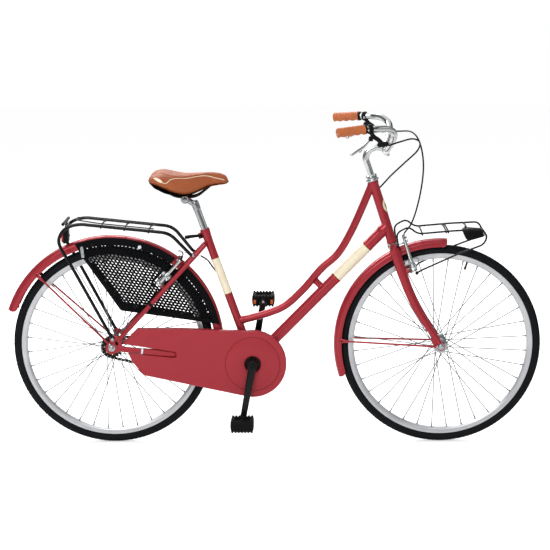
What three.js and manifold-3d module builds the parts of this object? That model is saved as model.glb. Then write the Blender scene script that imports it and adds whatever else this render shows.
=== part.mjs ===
// City bicycle with a swan frame, full chain case, skirt guards and two carriers.
// Millimetres. X points forward, Y to the rider's left, Z up; Z = 0 is the ground.
import * as THREE from 'three';
import { mergeVertices } from 'three/addons/utils/BufferGeometryUtils.js';
import Module from 'manifold-3d';

const wasm = await Module();
wasm.setup();

// Fits shared by the whole machine
const gap = 0.3;
const overrun = 30;
const weld = 0.001;
const deg = Math.PI / 180;

// Wheels
const wheelbase = 1137;
const wheelRadius = 348;
const tyreWidth = 36;
const rimRadius = 318;
const rimDepth = 18;
const rimWidth = 26;
const spokeCount = 36;
const spokeRadius = 1;
const flangeRadius = 25;
const flangeThickness = 5;
const spokeCircle = 22.5;
const spokeSpread = 1.1;
const hubBarrelRadius = 13;
const axleRadius = 5;
const locknutRadius = 9;
const axleNutRadius = 9;
const axleNutHeight = 10;
const axleEnd = 5;
const frontFlange = 32;
const frontHubHalf = 42;
const rearFlangeLeft = 34;
const rearFlangeRight = 28;
const rearHubHalf = 52;
const freewheelSeat = 16;
const crossAngle = 52 * deg;

// Steering
const headAngle = 72.45 * deg;
const forkRake = 52.6;
const headTubeRadius = 16.5;
const headTubeBore = 14;
const headTubeFoot = 390;
const headTubeTop = 614;
const steererRadius = 12.7;
const steererBore = 11.3;
const cupRadius = 20;
const cupHeight = 8;
const locknutHeight = 6;
const crownHeight = 24;
const crownLength = 28;
const crownHalf = 50;
const bladeRadius = 16;
const bladeHalfWidth = 11;
const bladeTipRadius = 9;
const bladeTop = 372;
const bladeTopSide = 40.5;
const bladeFootSide = 55;
const frontDropoutInner = 50;
const dropoutThickness = 5;
const dropoutRadius = 15;

// Frame
const bottomBracketX = 486;
const bottomBracketZ = 288.5;
const shellRadius = 20;
const shellHalf = 32;
const shellBore = 17;
const seatTubeRadius = 14.3;
const seatTubeBore = 12.8;
const seatTubeTopX = 322;
const seatTubeTopZ = 754;
const downTubeRadius = 19;
const downTubeHeadAlong = 449;
const topTubeRadius = 13;
const topTubeHeadAlong = 600;
const topTubeSeatZ = 430;
const bridgeRadius = 10.5;
const strutShare = 0.535;
const chainstayRadius = 9.5;
const chainstaySide = 22;
const rearDropoutInner = 60;
const seatstayRadius = 8;
const seatstayFootX = 24;
const seatstayFootZ = 377;
const seatstayTopZ = 700;
const seatstayFootSide = 60;
const seatstayBridgeSide = 40;
const seatstayTopSide = 23;
const seatstayBridgeShare = 0.83;
const stayBridgeRadius = 6;

// Brakes
const bossShareOfStay = 0.543;
const bossSide = 42;
const bossRadius = 5;
const bossReach = 20;
const armThickness = 14;
const bossHeadRadius = 7.5;
const bossHeadHeight = 4;
const armWidth = 12;
const armMiddle = bossReach + armThickness / 2;
const armLength = 108;
const armTopSide = 39.5;
const padLength = 50;
const padHeight = 10;
const brakeSwingDegrees = 3.5;
const padThickness = 8;
const frontPadAbove = 25;
const rearPadAbove = 34;
const frontBossAlong = 285;

// Fenders
const frontFenderRadius = 370;
const rearFenderRadius = 386;
const fenderHalf = 26;
const frontFenderDepth = 26;
const rearFenderDepth = 30;
const fenderWall = 2;
const frontFenderStart = 87;
const frontFenderEnd = 198;
const rearFenderStart = -2;
const rearFenderEnd = 160.5;
const stayWireRadius = 3;
const frontStayAngle = 177.5;
const rearStayAngle = 135.7;
const stayUnderFender = 11;
const fenderStep = 10;

// Chain drive
const chainLine = 44;
const chainPitch = 12.7;
const chainwheelTeeth = 44;
const sprocketTeeth = 18;
const toothWidth = 2;
const rollerRadius = 3.9;
const chainPlateHeight = 8.4;
const chainWidth = 6.4;
const spindleRadius = 8.5;
const crankLength = 196;
const crankAngle = 10.3 * deg;
const crankInner = 63;
const crankThickness = 14;
const crankHubRadius = 17;
const crankTipRadius = 11;
const crankWidth = 20;
const pedalSpindleRadius = 6;
const pedalLength = 80;
const pedalWidth = 92;
const pedalHeight = 34;
const pedalInner = 90;
const pedalBarrel = 10;
const pedalRail = 8;
const crankBarHalf = 6;
const crankAxleHalf = 77;
const wheelBossHalf = 7;
const sprocketBossHalf = 4;
const sprocketBoss = 22;

// Chain case
const caseRadius = 117;
const caseOuter = 60;
const caseInner = 34.6;
const caseWall = 2;
const caseBackWall = 1.2;
const caseTop = 126;
const caseHole = 28;
const caseDiscRadius = 95;
const caseDiscHeight = 1;
const slotEnd = 213;
const slotHalf = 10.8;
const slotMouthHalf = 16;

// Seat
const postRadius = 12.5;
const postTopZ = 852;
const postDepth = 110;
const postTravel = 55;
const postCrimp = 30;
const postHeadRadius = 11;
const collarRadius = 19;
const collarHeight = 13;
const collarDrop = 22;
const clampX = 258;
const clampZ = 859;
const clampWidth = 50;
const clampRadius = 14;
const railRadius = 3.5;
const railSide = 22;
const railRise = 8;
const saddleWall = 7;
const holderRear = 44;
const holderNose = 33;
const holderLength = 12;
const holderHalf = 54;
const holderHeight = 46;
const holderRise = 19;
const seatLeverLength = 52;
const saddleRear = 135;
const saddleNose = 406;
const saddleZ = 905;
const saddleHalf = 105;

// Handlebar
const stemReach = 52;
const stemRadius = 11;
const stemArmRadius = 12.5;
const stemClampAlong = 706;
const stemClampForward = 75;
const stemClampHalf = 24;
const quillDepth = 90;
const quillTopAlong = 688;
const barRadius = 11.1;
const clampWall = 4;
const gripRadius = 16;
const gripLength = 98;
const gripEndX = 780;
const gripEndZ = 1111;
const gripEndSide = 285;
const gripFrontX = 870;
const gripFrontZ = 1119;
const gripFrontSide = 246;
const bendX = 953;
const bendZ = 1111;
const bendSide = 196;
const perchX = 882;
const perchDrop = 34;
const perchReach = 60;
const leverLength = 79;
const leverDrop = 35 * deg;
const leverRadius = 4;
const leverEye = 4.5;
const leverRoom = 6.4;

// Carriers
const rackHalf = 78;
const rackTubeRadius = 5.5;
const rackWireRadius = 3;
const rackFrontX = 207;
const rackFrontZ = 752;
const rackCornerX = -213;
const rackCornerZ = 796;
const rackFrontBend = 30;
const rackRearBend = 105;
const tailCrossDrop = 7;
const rackFootX = 4;
const rackFootZ = 381;
const rackFootSide = 71;
const rackHoldX = 275;
const rackHoldSide = 50;
const rackHoldZ = 674;
const rackWires = [135, 53, -27];
const porteurHalf = 86;
const porteurWire = 2.6;
const crownWireAlong = 374;
const crownWireAhead = 17.2;
const porteurLine = [
  [985, 80, 708], [980, 84, 750], [1020, 86, 772], [1052, 86, 747], [1171, 86, 757], [1264, 86, 762],
  [1280, 86, 735], [1266, 86, 709], [1190, 86, 678], [1062, 70, 617], [1052, 52, 606],
];
const porteurCross = [[1067, 748.5], [1148, 755.5], [1222, 760.5], [1277, 741]];
const lampTopWire = 760;

// Lamps
const lampLength = 78;
const lampHeight = 38;
const lampHalf = 28;
const lampX = 1209;
const lampZ = 735;
const lensDepth = 6;
const tailX = -156;
const tailZ = 733;
const tailHeight = 50;
const tailDepth = 18;
const tailHalf = 24;

// Skirt guard
const guardSide = 29.5;
const guardThickness = 1.6;
const guardOuter = 378;
const guardHoleLong = 27;
const guardHoleWide = 13.5;
const guardPitchLong = 45;
const guardPitchWide = 24;
const guardRim = 7;
const guardLow = 432;
const guardSlant = 3.7;
const guardClip = 5;
const guardClipRadius = 362;
const notchMargin = 16;
const notchHalf = 17;

// Cables
const cableRadius = 2.5;
const innerWireRadius = 0.9;
const rearCableRoute = [
  [944, -232, 1064], [985, -190, 1072], [1030, -130, 1075], [1056, -80, 1058], [1050, -35, 1025],
  [1012, -4, 985], [965, 20, 935], [925, 27, 892], [850, 19, 790], [740, 19, 665], [600, 19, 515],
  [500, 20, 470], [425, 21, 478], [385, 21, 560], [352, 20, 640], [336, 19, 664], [322, 12, 668], [306, 4, 664],
];
const rearNoodle = [[121, 50, 12], [123, 42, 28], [117, 29, 39.5], [109, 28, 39.5]];
const frontCableRoute = [
  [941, 232, 1063], [1000, 205, 1068], [1044, 130, 1071], [1066, 66, 1041], [1076, 20, 970],
  [1063, -10, 870], [1034, -24, 775],
];
const frontNoodle = [[130, 33, -39], [119, 28, -39.5], [108.9, 27, -39.5]];
const wireAboveArm = 2.6;

// Colours of the finishes
const red = finish(0xa83a44, 0.35, 0.1);
const black = finish(0x17181b, 0.5, 0.2);
const chrome = finish(0xd9dcdf, 0.15, 1);
const silver = finish(0xc4c8cb, 0.35, 0.9);
const rubber = finish(0x26292e, 0.85, 0);
const tan = finish(0xb4552f, 0.6, 0);
const brownSteel = finish(0x4b3a2c, 0.5, 0.7);
const redLens = finish(0xd0141c, 0.15, 0);
const clearLens = finish(0xe8ecee, 0.1, 0);
const net = finish(0x1d1f22, 0.7, 0);

function finish(color, roughness, metalness) {
  return new THREE.MeshStandardMaterial({ color, roughness, metalness });
}

// Frames of reference
function point(x, y, z) {
  return new THREE.Vector3(x, y, z);
}
const rearAxle = point(0, 0, wheelRadius);
const frontAxle = point(wheelbase, 0, wheelRadius);
const bottomBracket = point(bottomBracketX, 0, bottomBracketZ);
const left = point(0, 1, 0);
const steerUp = point(-Math.cos(headAngle), 0, Math.sin(headAngle));
const steerForward = point(Math.sin(headAngle), 0, Math.cos(headAngle));
const steerFoot = frontAxle.clone().addScaledVector(steerForward, -forkRake);

// A place on the steering assembly, given along the steering axis and ahead of it.
function steer(along, forward = 0, side = 0) {
  return steerFoot.clone().addScaledVector(steerUp, along)
    .addScaledVector(steerForward, forward).addScaledVector(left, side);
}

// Joining and cutting
function solid(geometry) {
  const bare = new THREE.BufferGeometry();
  bare.setAttribute('position', geometry.attributes.position.clone());
  if (geometry.index) bare.setIndex(geometry.index.clone());
  const merged = mergeVertices(bare, weld);
  const corners = merged.index.array;
  const kept = [];
  for (let i = 0; i < corners.length; i += 3) {
    const [a, b, c] = [corners[i], corners[i + 1], corners[i + 2]];
    if (a !== b && b !== c && c !== a) kept.push(a, b, c);
  }
  const build = (triangles) => new wasm.Manifold(new wasm.Mesh({
    numProp: 3,
    vertProperties: new Float32Array(merged.attributes.position.array),
    triVerts: new Uint32Array(triangles),
  }));
  const made = build(kept);
  if (made.volume() > 0) return made;
  const turned = [];
  for (let i = 0; i < kept.length; i += 3) turned.push(kept[i], kept[i + 2], kept[i + 1]);
  return build(turned);
}

function join(...pieces) {
  return pieces.reduce((whole, piece) => whole.add(piece));
}

function cut(whole, ...tools) {
  return tools.reduce((rest, tool) => rest.subtract(tool), whole);
}

function mesh(name, body, material) {
  const raw = body.getMesh();
  const geometry = new THREE.BufferGeometry();
  geometry.setAttribute('position', new THREE.BufferAttribute(new Float32Array(raw.vertProperties), 3));
  geometry.setIndex(new THREE.BufferAttribute(new Uint32Array(raw.triVerts), 1));
  geometry.computeVertexNormals();
  const made = new THREE.Mesh(geometry, material);
  made.name = name;
  return made;
}

// Forms
function turnTo(geometry, direction, place) {
  const turn = new THREE.Quaternion().setFromUnitVectors(point(0, 1, 0), direction.clone().normalize());
  return geometry.applyQuaternion(turn).translate(place.x, place.y, place.z);
}

function rod(from, to, radius, sides = 12, endRadius = radius) {
  const span = to.clone().sub(from);
  const middle = from.clone().addScaledVector(span, 0.5);
  const geometry = new THREE.CylinderGeometry(endRadius, radius, span.length(), sides);
  return solid(turnTo(geometry, span, middle));
}

// A closed profile of [radius, height] pairs turned about a line.
function revolve(profile, place, direction, segments = 24) {
  const outline = profile.map(([r, h]) => new THREE.Vector2(r, h));
  outline.push(outline[0].clone());
  return solid(turnTo(new THREE.LatheGeometry(outline, segments), direction, place));
}

// A round tube of one radius through points, one ring at each.
function tube(points, radius, sides) {
  return taperedTube(points, () => radius, sides);
}

// Rings stay square to the tube and are carried from one to the next without twist.
function taperedTube(points, radiusAt, sides) {
  const runs = points.slice(1).map((p, i) => p.clone().sub(points[i]).normalize());
  const tangents = points.map((p, i) => {
    const before = runs[Math.max(i - 1, 0)];
    const after = runs[Math.min(i, runs.length - 1)];
    return before.clone().add(after).normalize();
  });
  const start = Math.abs(tangents[0].y) < 0.9 ? left.clone() : point(0, 0, 1);
  let across = start.sub(tangents[0].clone().multiplyScalar(start.dot(tangents[0]))).normalize();
  const rings = points.map((centre, i) => {
    if (i > 0) {
      const turn = new THREE.Quaternion().setFromUnitVectors(tangents[i - 1], tangents[i]);
      across = across.clone().applyQuaternion(turn);
    }
    const other = tangents[i].clone().cross(across);
    const ring = [];
    for (let k = 0; k < sides; k += 1) {
      const angle = ((k + 0.5) / sides) * 2 * Math.PI;
      const radius = radiusAt(i / (points.length - 1));
      ring.push(centre.clone().addScaledVector(across, radius * Math.cos(angle))
        .addScaledVector(other, radius * Math.sin(angle)));
    }
    return ring;
  });
  return loft(rings);
}

function smooth(points, steps) {
  return new THREE.CatmullRomCurve3(points, false, 'centripetal').getSpacedPoints(steps);
}

// Straight runs joined by curved corners, each corner starting one bend before its point.
function rounded(corners, bend, parts = 3) {
  const points = [corners[0].clone()];
  for (let i = 1; i < corners.length - 1; i += 1) {
    const into = corners[i - 1].clone().sub(corners[i]);
    const out = corners[i + 1].clone().sub(corners[i]);
    const size = Math.min(bend, into.length() / 2.1, out.length() / 2.1);
    const enter = corners[i].clone().addScaledVector(into.normalize(), size);
    const leave = corners[i].clone().addScaledVector(out.normalize(), size);
    const curve = new THREE.QuadraticBezierCurve3(enter, corners[i].clone(), leave);
    points.push(...curve.getPoints(parts));
  }
  points.push(corners[corners.length - 1].clone());
  return points;
}

// Rings of equal count joined into one closed skin, with a fan over each end.
function loft(rings) {
  const count = rings[0].length;
  const corners = rings.flat();
  const centre = (ring) => ring.reduce((sum, p) => sum.add(p), point(0, 0, 0)).divideScalar(count);
  corners.push(centre(rings[0]), centre(rings[rings.length - 1]));
  const faces = [];
  for (let r = 0; r < rings.length - 1; r += 1) {
    for (let i = 0; i < count; i += 1) {
      const a = r * count + i;
      const b = r * count + (i + 1) % count;
      faces.push(a, b, b + count, a, b + count, a + count);
    }
  }
  const last = (rings.length - 1) * count;
  for (let i = 0; i < count; i += 1) {
    faces.push(corners.length - 2, (i + 1) % count, i);
    faces.push(corners.length - 1, last + i, last + (i + 1) % count);
  }
  const geometry = new THREE.BufferGeometry();
  geometry.setAttribute('position', new THREE.Float32BufferAttribute(corners.flatMap((p) => p.toArray()), 3));
  geometry.setIndex(faces);
  return solid(geometry);
}

// An outline in X and Z pulled from one Y to another.
function plate(outline, fromY, toY) {
  const shape = Array.isArray(outline[0]) ? toShape(outline) : outline;
  const depth = Math.abs(toY - fromY);
  const geometry = new THREE.ExtrudeGeometry(shape, { depth, bevelEnabled: false, curveSegments: 6 });
  return solid(geometry.rotateX(90 * deg).translate(0, Math.max(fromY, toY), 0));
}

// A box with its own three directions, centred on a place.
function block(place, alongX, sizeX, alongY, sizeY, sizeZ) {
  const x = alongX.clone().normalize();
  const y = alongY.clone().normalize();
  const z = x.clone().cross(y);
  const geometry = new THREE.BoxGeometry(sizeX, sizeY, sizeZ);
  return solid(geometry.applyMatrix4(new THREE.Matrix4().makeBasis(x, y, z).setPosition(place)));
}

// Wheels
function tyre(name, axle) {
  const bed = rimRadius + gap;
  const depth = wheelRadius - bed;
  const half = tyreWidth / 2;
  const shares = [[0, 0.7], [0.4, 1], [0.76, 0.8], [1, 0.22]];
  const side = shares.map(([d, w]) => [bed + depth * d, half * w]);
  const mirrored = side.slice().reverse().map(([r, w]) => [r, -w]);
  return mesh(name, revolve([...side, ...mirrored], axle, left, spokeCount), rubber);
}

function rim(name, axle) {
  const half = rimWidth / 2;
  const shares = [[0, 1], [0.72, 0.9], [1, 0.4]];
  const side = shares.map(([d, w]) => [rimRadius - rimDepth * d, half * w]);
  const mirrored = side.slice().reverse().map(([r, w]) => [r, -w]);
  return mesh(name, revolve([...side, ...mirrored], axle, left, spokeCount), silver);
}

function spokes(axle, rightFlange, leftFlange) {
  const reach = (rimRadius - rimDepth) * Math.cos(Math.PI / spokeCount) - gap;
  const made = [];
  for (let i = 0; i < spokeCount; i += 1) {
    const rimAngle = ((i + 0.5) / spokeCount) * 2 * Math.PI;
    const flange = i % 2 === 0 ? -rightFlange : leftFlange;
    const lean = i % 4 < 2 ? 1 : -1;
    const hubAngle = rimAngle + lean * crossAngle;
    const spread = lean * spokeSpread;
    const foot = point(spokeCircle * Math.cos(hubAngle), flange + spread, spokeCircle * Math.sin(hubAngle));
    const tip = point(reach * Math.cos(rimAngle), spread, reach * Math.sin(rimAngle));
    made.push(rod(foot.add(axle), tip.add(axle), spokeRadius, 3));
  }
  return made;
}

function hub(name, axle, half, rightFlange, leftFlange, rightEnd) {
  const bore = axleRadius + gap;
  const t = flangeThickness / 2;
  const profile = [
    [bore, -half], [rightEnd, -half], [rightEnd, -rightFlange - t], [flangeRadius, -rightFlange - t],
    [flangeRadius, -rightFlange + t], [hubBarrelRadius, -rightFlange + t],
    [hubBarrelRadius, leftFlange - t], [flangeRadius, leftFlange - t], [flangeRadius, leftFlange + t],
    [hubBarrelRadius, leftFlange + t], [hubBarrelRadius, half], [bore, half],
  ];
  const body = revolve(profile, axle, left, spokeCount / 2);
  return mesh(name, join(body, ...spokes(axle, rightFlange, leftFlange)), silver);
}

function axle(name, centre, hubHalf, dropoutInner) {
  const nutStart = dropoutInner + dropoutThickness + gap;
  const nutEnd = nutStart + axleNutHeight;
  const side = [
    [axleRadius, hubHalf + gap], [locknutRadius, hubHalf + gap], [locknutRadius, dropoutInner - gap],
    [axleRadius, dropoutInner - gap], [axleRadius, nutStart], [axleNutRadius, nutStart],
    [axleNutRadius, nutEnd], [axleRadius, nutEnd], [axleRadius, nutEnd + axleEnd],
  ];
  const mirrored = side.slice().reverse().map(([r, h]) => [r, -h]);
  const ends = [[0, nutEnd + axleEnd], [0, -nutEnd - axleEnd]];
  return mesh(name, revolve([...side, ...ends, ...mirrored], centre, left, 6), silver);
}

function wheelMeshes(end, centre) {
  const isFront = end === 'front';
  const hubHalf = isFront ? frontHubHalf : rearHubHalf;
  return [
    tyre(`${end}_tyre`, centre),
    rim(`${end}_rim`, centre),
    hub(
      `${end}_hub`, centre, hubHalf, isFront ? frontFlange : rearFlangeRight,
      isFront ? frontFlange : rearFlangeLeft, isFront ? hubBarrelRadius : freewheelSeat,
    ),
    axle(`${end}_axle`, centre, hubHalf, isFront ? frontDropoutInner : rearDropoutInner),
  ];
}

// Frame tubes
const seatTubeTop = point(seatTubeTopX, 0, seatTubeTopZ);
const seatUp = seatTubeTop.clone().sub(bottomBracket).normalize();
function onSeatTube(z) {
  return bottomBracket.clone().addScaledVector(seatUp, (z - bottomBracketZ) / seatUp.z);
}

function headTube() {
  const height = headTubeTop - headTubeFoot;
  const profile = [[headTubeBore, 0], [headTubeRadius, 0], [headTubeRadius, height], [headTubeBore, height]];
  return revolve(profile, steer(headTubeFoot), steerUp, 20);
}

function seatTubeSolid(extra = 0) {
  return rod(bottomBracket, seatTubeTop, seatTubeRadius + extra, 16);
}

function headTubeSolid(extra = 0) {
  return rod(steer(headTubeFoot - extra), steer(headTubeTop + extra), headTubeRadius + extra, 20);
}

function shellSolid(extra = 0) {
  const half = shellHalf + extra;
  return rod(bottomBracket.clone().setY(-half), bottomBracket.clone().setY(half), shellRadius + extra, 24);
}

function seatTube() {
  const ear = block(
    onSeatTube(seatTubeTopZ - collarDrop).add(point(-seatTubeRadius - collarHeight / 3, 0, 0)),
    seatUp, collarHeight, left, collarHeight, collarHeight,
  );
  const body = join(seatTubeSolid(), shellSolid(), ear);
  const post = rod(onSeatTube(seatTubeTopZ - postDepth - postTravel), onSeatTube(seatTubeTopZ + overrun), seatTubeBore, 16);
  const bore = rod(bottomBracket.clone().setY(-shellHalf - overrun), bottomBracket.clone().setY(shellHalf + overrun), shellBore, 24);
  return cut(body, post, bore);
}

function downTubeSolid(extra = 0) {
  return rod(bottomBracket, steer(downTubeHeadAlong), downTubeRadius + extra, 20);
}

function downTube() {
  return cut(downTubeSolid(), headTubeSolid(gap), shellSolid(gap), seatTubeSolid(gap));
}

// The swan tube leaves the seat tube nearly level and climbs to the head in one S.
const swanShares = [
  [0, 0], [0.22, 0.058], [0.345, 0.112], [0.478, 0.23], [0.62, 0.392],
  [0.732, 0.492], [0.83, 0.652], [0.977, 0.985], [1, 1.04],
];
function topTubePath(steps = 15) {
  const start = onSeatTube(topTubeSeatZ);
  const end = steer(topTubeHeadAlong);
  const span = end.clone().sub(start);
  return smooth(swanShares.map(([x, z]) => start.clone().add(point(span.x * x, 0, span.z * z))), steps);
}

function topTube() {
  const body = tube(topTubePath(), topTubeRadius, 10);
  const roof = rod(steer(headTubeTop), steer(headTubeTop + overrun), headTubeRadius + overrun, 12);
  const strutFoot = bottomBracket.clone().lerp(steer(downTubeHeadAlong), strutShare);
  const across = left.clone().cross(steer(downTubeHeadAlong).sub(bottomBracket)).normalize().negate();
  const strut = rod(strutFoot, strutFoot.clone().addScaledVector(across, downTubeRadius * 2.4), bridgeRadius, 12);
  return cut(join(body, strut), headTubeSolid(gap), seatTubeSolid(gap), roof, downTubeSolid(gap));
}

// Stays and dropouts
function chainstayPath(side) {
  return [
    bottomBracket.clone().add(point(0, side * chainstaySide, 0)),
    point(0, side * (rearDropoutInner + dropoutThickness / 2), wheelRadius),
  ];
}

function rearDropout(side) {
  const outline = new THREE.Shape();
  outline.absarc(0, wheelRadius, dropoutRadius, 60 * deg, 290 * deg, false);
  outline.lineTo(dropoutRadius * 3, wheelRadius - dropoutRadius);
  outline.lineTo(dropoutRadius * 3, wheelRadius);
  outline.lineTo(seatstayFootX + seatstayRadius, seatstayFootZ);
  outline.lineTo(rackFootX + dropoutRadius / 2, rackFootZ + dropoutRadius / 2);
  outline.lineTo(rackFootX - dropoutRadius / 2, rackFootZ);
  const inner = side * rearDropoutInner;
  return plate(outline, inner, inner + side * dropoutThickness);
}

function chainstays() {
  const halves = [-1, 1].map((side) => {
    const [from, to] = chainstayPath(side);
    const end = from.clone().lerp(to, 0.93);
    return join(rod(from, end, chainstayRadius, 12), rearDropout(side));
  });
  const bridge = rod(point(rearFenderRadius + overrun / 2, -overrun, bottomBracketZ + gap * 40),
    point(rearFenderRadius + overrun / 2, overrun, bottomBracketZ + gap * 40), stayBridgeRadius, 10);
  const axleHoles = rod(rearAxle.clone().setY(-overrun * 3), rearAxle.clone().setY(overrun * 3), axleRadius + gap, 12);
  return cut(join(...halves, bridge), shellSolid(gap), axleHoles, seatTubeSolid(gap), downTubeSolid(gap));
}

function seatstayTop(side) {
  return onSeatTube(seatstayTopZ).add(point(-seatTubeRadius * 1.3, side * seatstayTopSide, 0));
}
function seatstayPath(side) {
  const foot = point(seatstayFootX, side * seatstayFootSide, seatstayFootZ);
  const top = seatstayTop(side);
  const knee = foot.clone().lerp(top, seatstayBridgeShare).setY(side * seatstayBridgeSide);
  return { foot, knee, top };
}
const stayDirection = seatstayTop(0).sub(point(seatstayFootX, 0, seatstayFootZ));
const stayLength = stayDirection.length();
stayDirection.normalize();
const stayOut = left.clone().cross(stayDirection).negate();

// A place on the rear brake, along the seat stays and behind them.
function onStay(along, out, side) {
  return point(seatstayFootX, side, seatstayFootZ).addScaledVector(stayDirection, along)
    .addScaledVector(stayOut, out);
}
const rearBossAlong = stayLength * bossShareOfStay;

function brakeBoss(place, side) {
  const depth = bossReach + armThickness + gap;
  const direction = place(0, 1, 0).sub(place(0, 0, 0));
  const profile = [
    [0, 0], [bossHeadRadius, 0], [bossHeadRadius, bossReach - gap], [bossRadius, bossReach - gap],
    [bossRadius, depth], [bossHeadRadius, depth], [bossHeadRadius, depth + bossHeadHeight],
    [0, depth + bossHeadHeight],
  ];
  return revolve(profile, place(0, 0, side * bossSide), direction, 8);
}
const rearBrakePlace = (along, out, side) => onStay(rearBossAlong + along, out, side);
const frontBrakePlace = (along, out, side) => steer(frontBossAlong + along, out, side);

function seatstays() {
  const halves = [-1, 1].map((side) => {
    const { foot, knee, top } = seatstayPath(side);
    const bar = tube(rounded([foot, knee, top], overrun, 2), seatstayRadius, 8);
    return join(bar, brakeBoss(rearBrakePlace, side));
  });
  const { knee } = seatstayPath(1);
  const bridge = rod(knee.clone().setY(-seatstayBridgeSide), knee, stayBridgeRadius, 8);
  const cap = rod(seatstayTop(-1), seatstayTop(1), seatstayRadius, 10);
  const dropouts = [-1, 1].map((side) => plate(
    [[-overrun, wheelRadius], [overrun * 3, wheelRadius], [overrun * 3, seatstayFootZ + seatstayRadius * 2],
      [-overrun, seatstayFootZ + seatstayRadius * 2]],
    side * (rearDropoutInner - gap), side * (rearDropoutInner + dropoutThickness + gap),
  ));
  return cut(join(...halves, bridge, cap), seatTubeSolid(gap), ...dropouts);
}

// Steering bearings, fork and stem
function headsetCup(atTop) {
  const direction = atTop ? steerUp : steerUp.clone().negate();
  const seat = steer(atTop ? headTubeTop + gap : headTubeFoot - gap);
  const bore = steererRadius + gap * 3;
  const profile = [[bore, 0], [headTubeRadius, 0], [cupRadius, cupHeight / 2], [cupRadius, cupHeight], [bore, cupHeight]];
  return revolve(profile, seat, direction, 16);
}

function headsetNut() {
  const foot = steer(headTubeTop + cupHeight + gap + gap);
  const profile = [
    [steererRadius + gap * 3, 0], [cupRadius, 0], [cupRadius, locknutHeight / 2], [headTubeRadius, locknutHeight / 2],
    [headTubeRadius, locknutHeight * 1.6], [steererRadius + gap * 3, locknutHeight * 1.6],
  ];
  return revolve(profile, foot, steerUp, 12);
}

function forkBlade(side) {
  const way = [[bladeTop, 0], [frontBossAlong, 1], [183, 8], [96, 26], [40, 44], [4, 54]];
  const sideAt = (along) => bladeFootSide + (bladeTopSide - bladeFootSide) * (along / bladeTop) ** 0.8;
  const path = smooth(way.map(([along, ahead]) => steer(along, ahead, side * sideAt(along))), 8);
  const sides = 10;
  const rings = path.map((centre, i) => {
    const run = path[Math.min(i + 1, path.length - 1)].clone().sub(path[Math.max(i - 1, 0)]);
    const ahead = left.clone().cross(run).normalize();
    const deep = bladeRadius + (bladeTipRadius - bladeRadius) * (i / (path.length - 1)) ** 2;
    return Array.from({ length: sides }, (_, corner) => {
      const angle = (corner / sides) * 2 * Math.PI;
      return centre.clone().addScaledVector(left, bladeHalfWidth * Math.cos(angle))
        .addScaledVector(ahead, deep * Math.sin(angle));
    });
  });
  return loft(rings);
}

function fork() {
  const crownFoot = headTubeFoot - cupHeight - gap - gap - crownHeight;
  const steererTop = headTubeTop + cupHeight + locknutHeight * 2;
  const crown = block(
    steer(crownFoot + crownHeight / 2), left, crownHalf * 2, steerUp, crownHeight, crownLength,
  );
  const steerer = rod(steer(crownFoot + crownHeight / 2), steer(steererTop), steererRadius, 16);
  const blades = [-1, 1].map((side) => join(
    forkBlade(side), brakeBoss(frontBrakePlace, side),
    plate(dropoutOutline(), side * frontDropoutInner, side * (frontDropoutInner + dropoutThickness)),
  ));
  const bore = rod(steer(headTubeTop - quillDepth - overrun), steer(steererTop + overrun), steererBore, 16);
  const axleHole = rod(frontAxle.clone().setY(-overrun * 3), frontAxle.clone().setY(overrun * 3), axleRadius + gap * 2, 8);
  const nutRoom = [-1, 1].map((side) => rod(
    frontAxle.clone().setY(side * (frontDropoutInner + dropoutThickness)),
    frontAxle.clone().setY(side * overrun * 3), axleNutRadius + gap * 4, 12,
  ));
  const hubRoom = rod(
    frontAxle.clone().setY(-frontDropoutInner), frontAxle.clone().setY(frontDropoutInner),
    locknutRadius + gap * 4, 12,
  );
  const fenderRoom = rod(
    frontAxle.clone().setY(-fenderHalf - gap), frontAxle.clone().setY(fenderHalf + gap),
    frontFenderRadius + gap * 4, 48,
  );
  return cut(join(crown, steerer, ...blades), bore, axleHole, ...nutRoom, hubRoom, fenderRoom);
}

function dropoutOutline() {
  const shape = new THREE.Shape();
  const corners = 12;
  for (let i = 0; i < corners; i += 1) {
    const angle = (i / corners) * 2 * Math.PI;
    const [x, z] = [wheelbase + dropoutRadius * Math.cos(angle), wheelRadius + dropoutRadius * Math.sin(angle)];
    if (i === 0) shape.moveTo(x, z);
    else shape.lineTo(x, z);
  }
  return shape;
}

function stem() {
  const quill = rod(steer(headTubeTop - quillDepth), steer(quillTopAlong), stemRadius, 12);
  const clampCentre = steer(stemClampAlong, stemClampForward);
  const arm = tube(smooth([
    steer(headTubeTop + stemRadius * 3), steer(quillTopAlong + stemRadius * 0.5),
    steer(quillTopAlong + stemRadius * 2.4, stemReach * 0.27), steer(quillTopAlong + stemRadius * 3, stemReach * 0.77),
    steer(quillTopAlong + stemRadius * 2, stemReach * 1.29), clampCentre,
  ], 5), stemArmRadius, 8);
  const clamp = rod(
    clampCentre.clone().setY(-stemClampHalf), clampCentre.clone().setY(stemClampHalf), barRadius + clampWall, 14,
  );
  return cut(join(quill, arm, clamp), barSolid(gap));
}

// Handlebar and what it carries
function barHalf(side) {
  const clampCentre = steer(stemClampAlong, stemClampForward);
  return [
    clampCentre, clampCentre.clone().setY(side * (stemClampHalf + barRadius * 2)),
    point(bendX + barRadius * 0.8, side * (bendSide * 0.56), clampCentre.z + (bendZ - clampCentre.z) * 0.42),
    point(bendX + barRadius, side * (bendSide * 0.87), clampCentre.z + (bendZ - clampCentre.z) * 0.86),
    point(bendX - barRadius, side * (bendSide + barRadius), bendZ + barRadius * 0.4),
    point(gripFrontX + (bendX - gripFrontX) * 0.45, side * (gripFrontSide - barRadius), gripFrontZ),
    point(gripFrontX, side * gripFrontSide, gripFrontZ),
    point(gripEndX + gap * 8, side * (gripEndSide - gap * 4), gripEndZ),
  ];
}

const barLines = 24;
function barSolid(extra = 0) {
  const right = barHalf(-1).slice(1).reverse();
  return tube(smooth([...right, ...barHalf(1)], barLines), barRadius + extra, 9);
}

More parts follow.
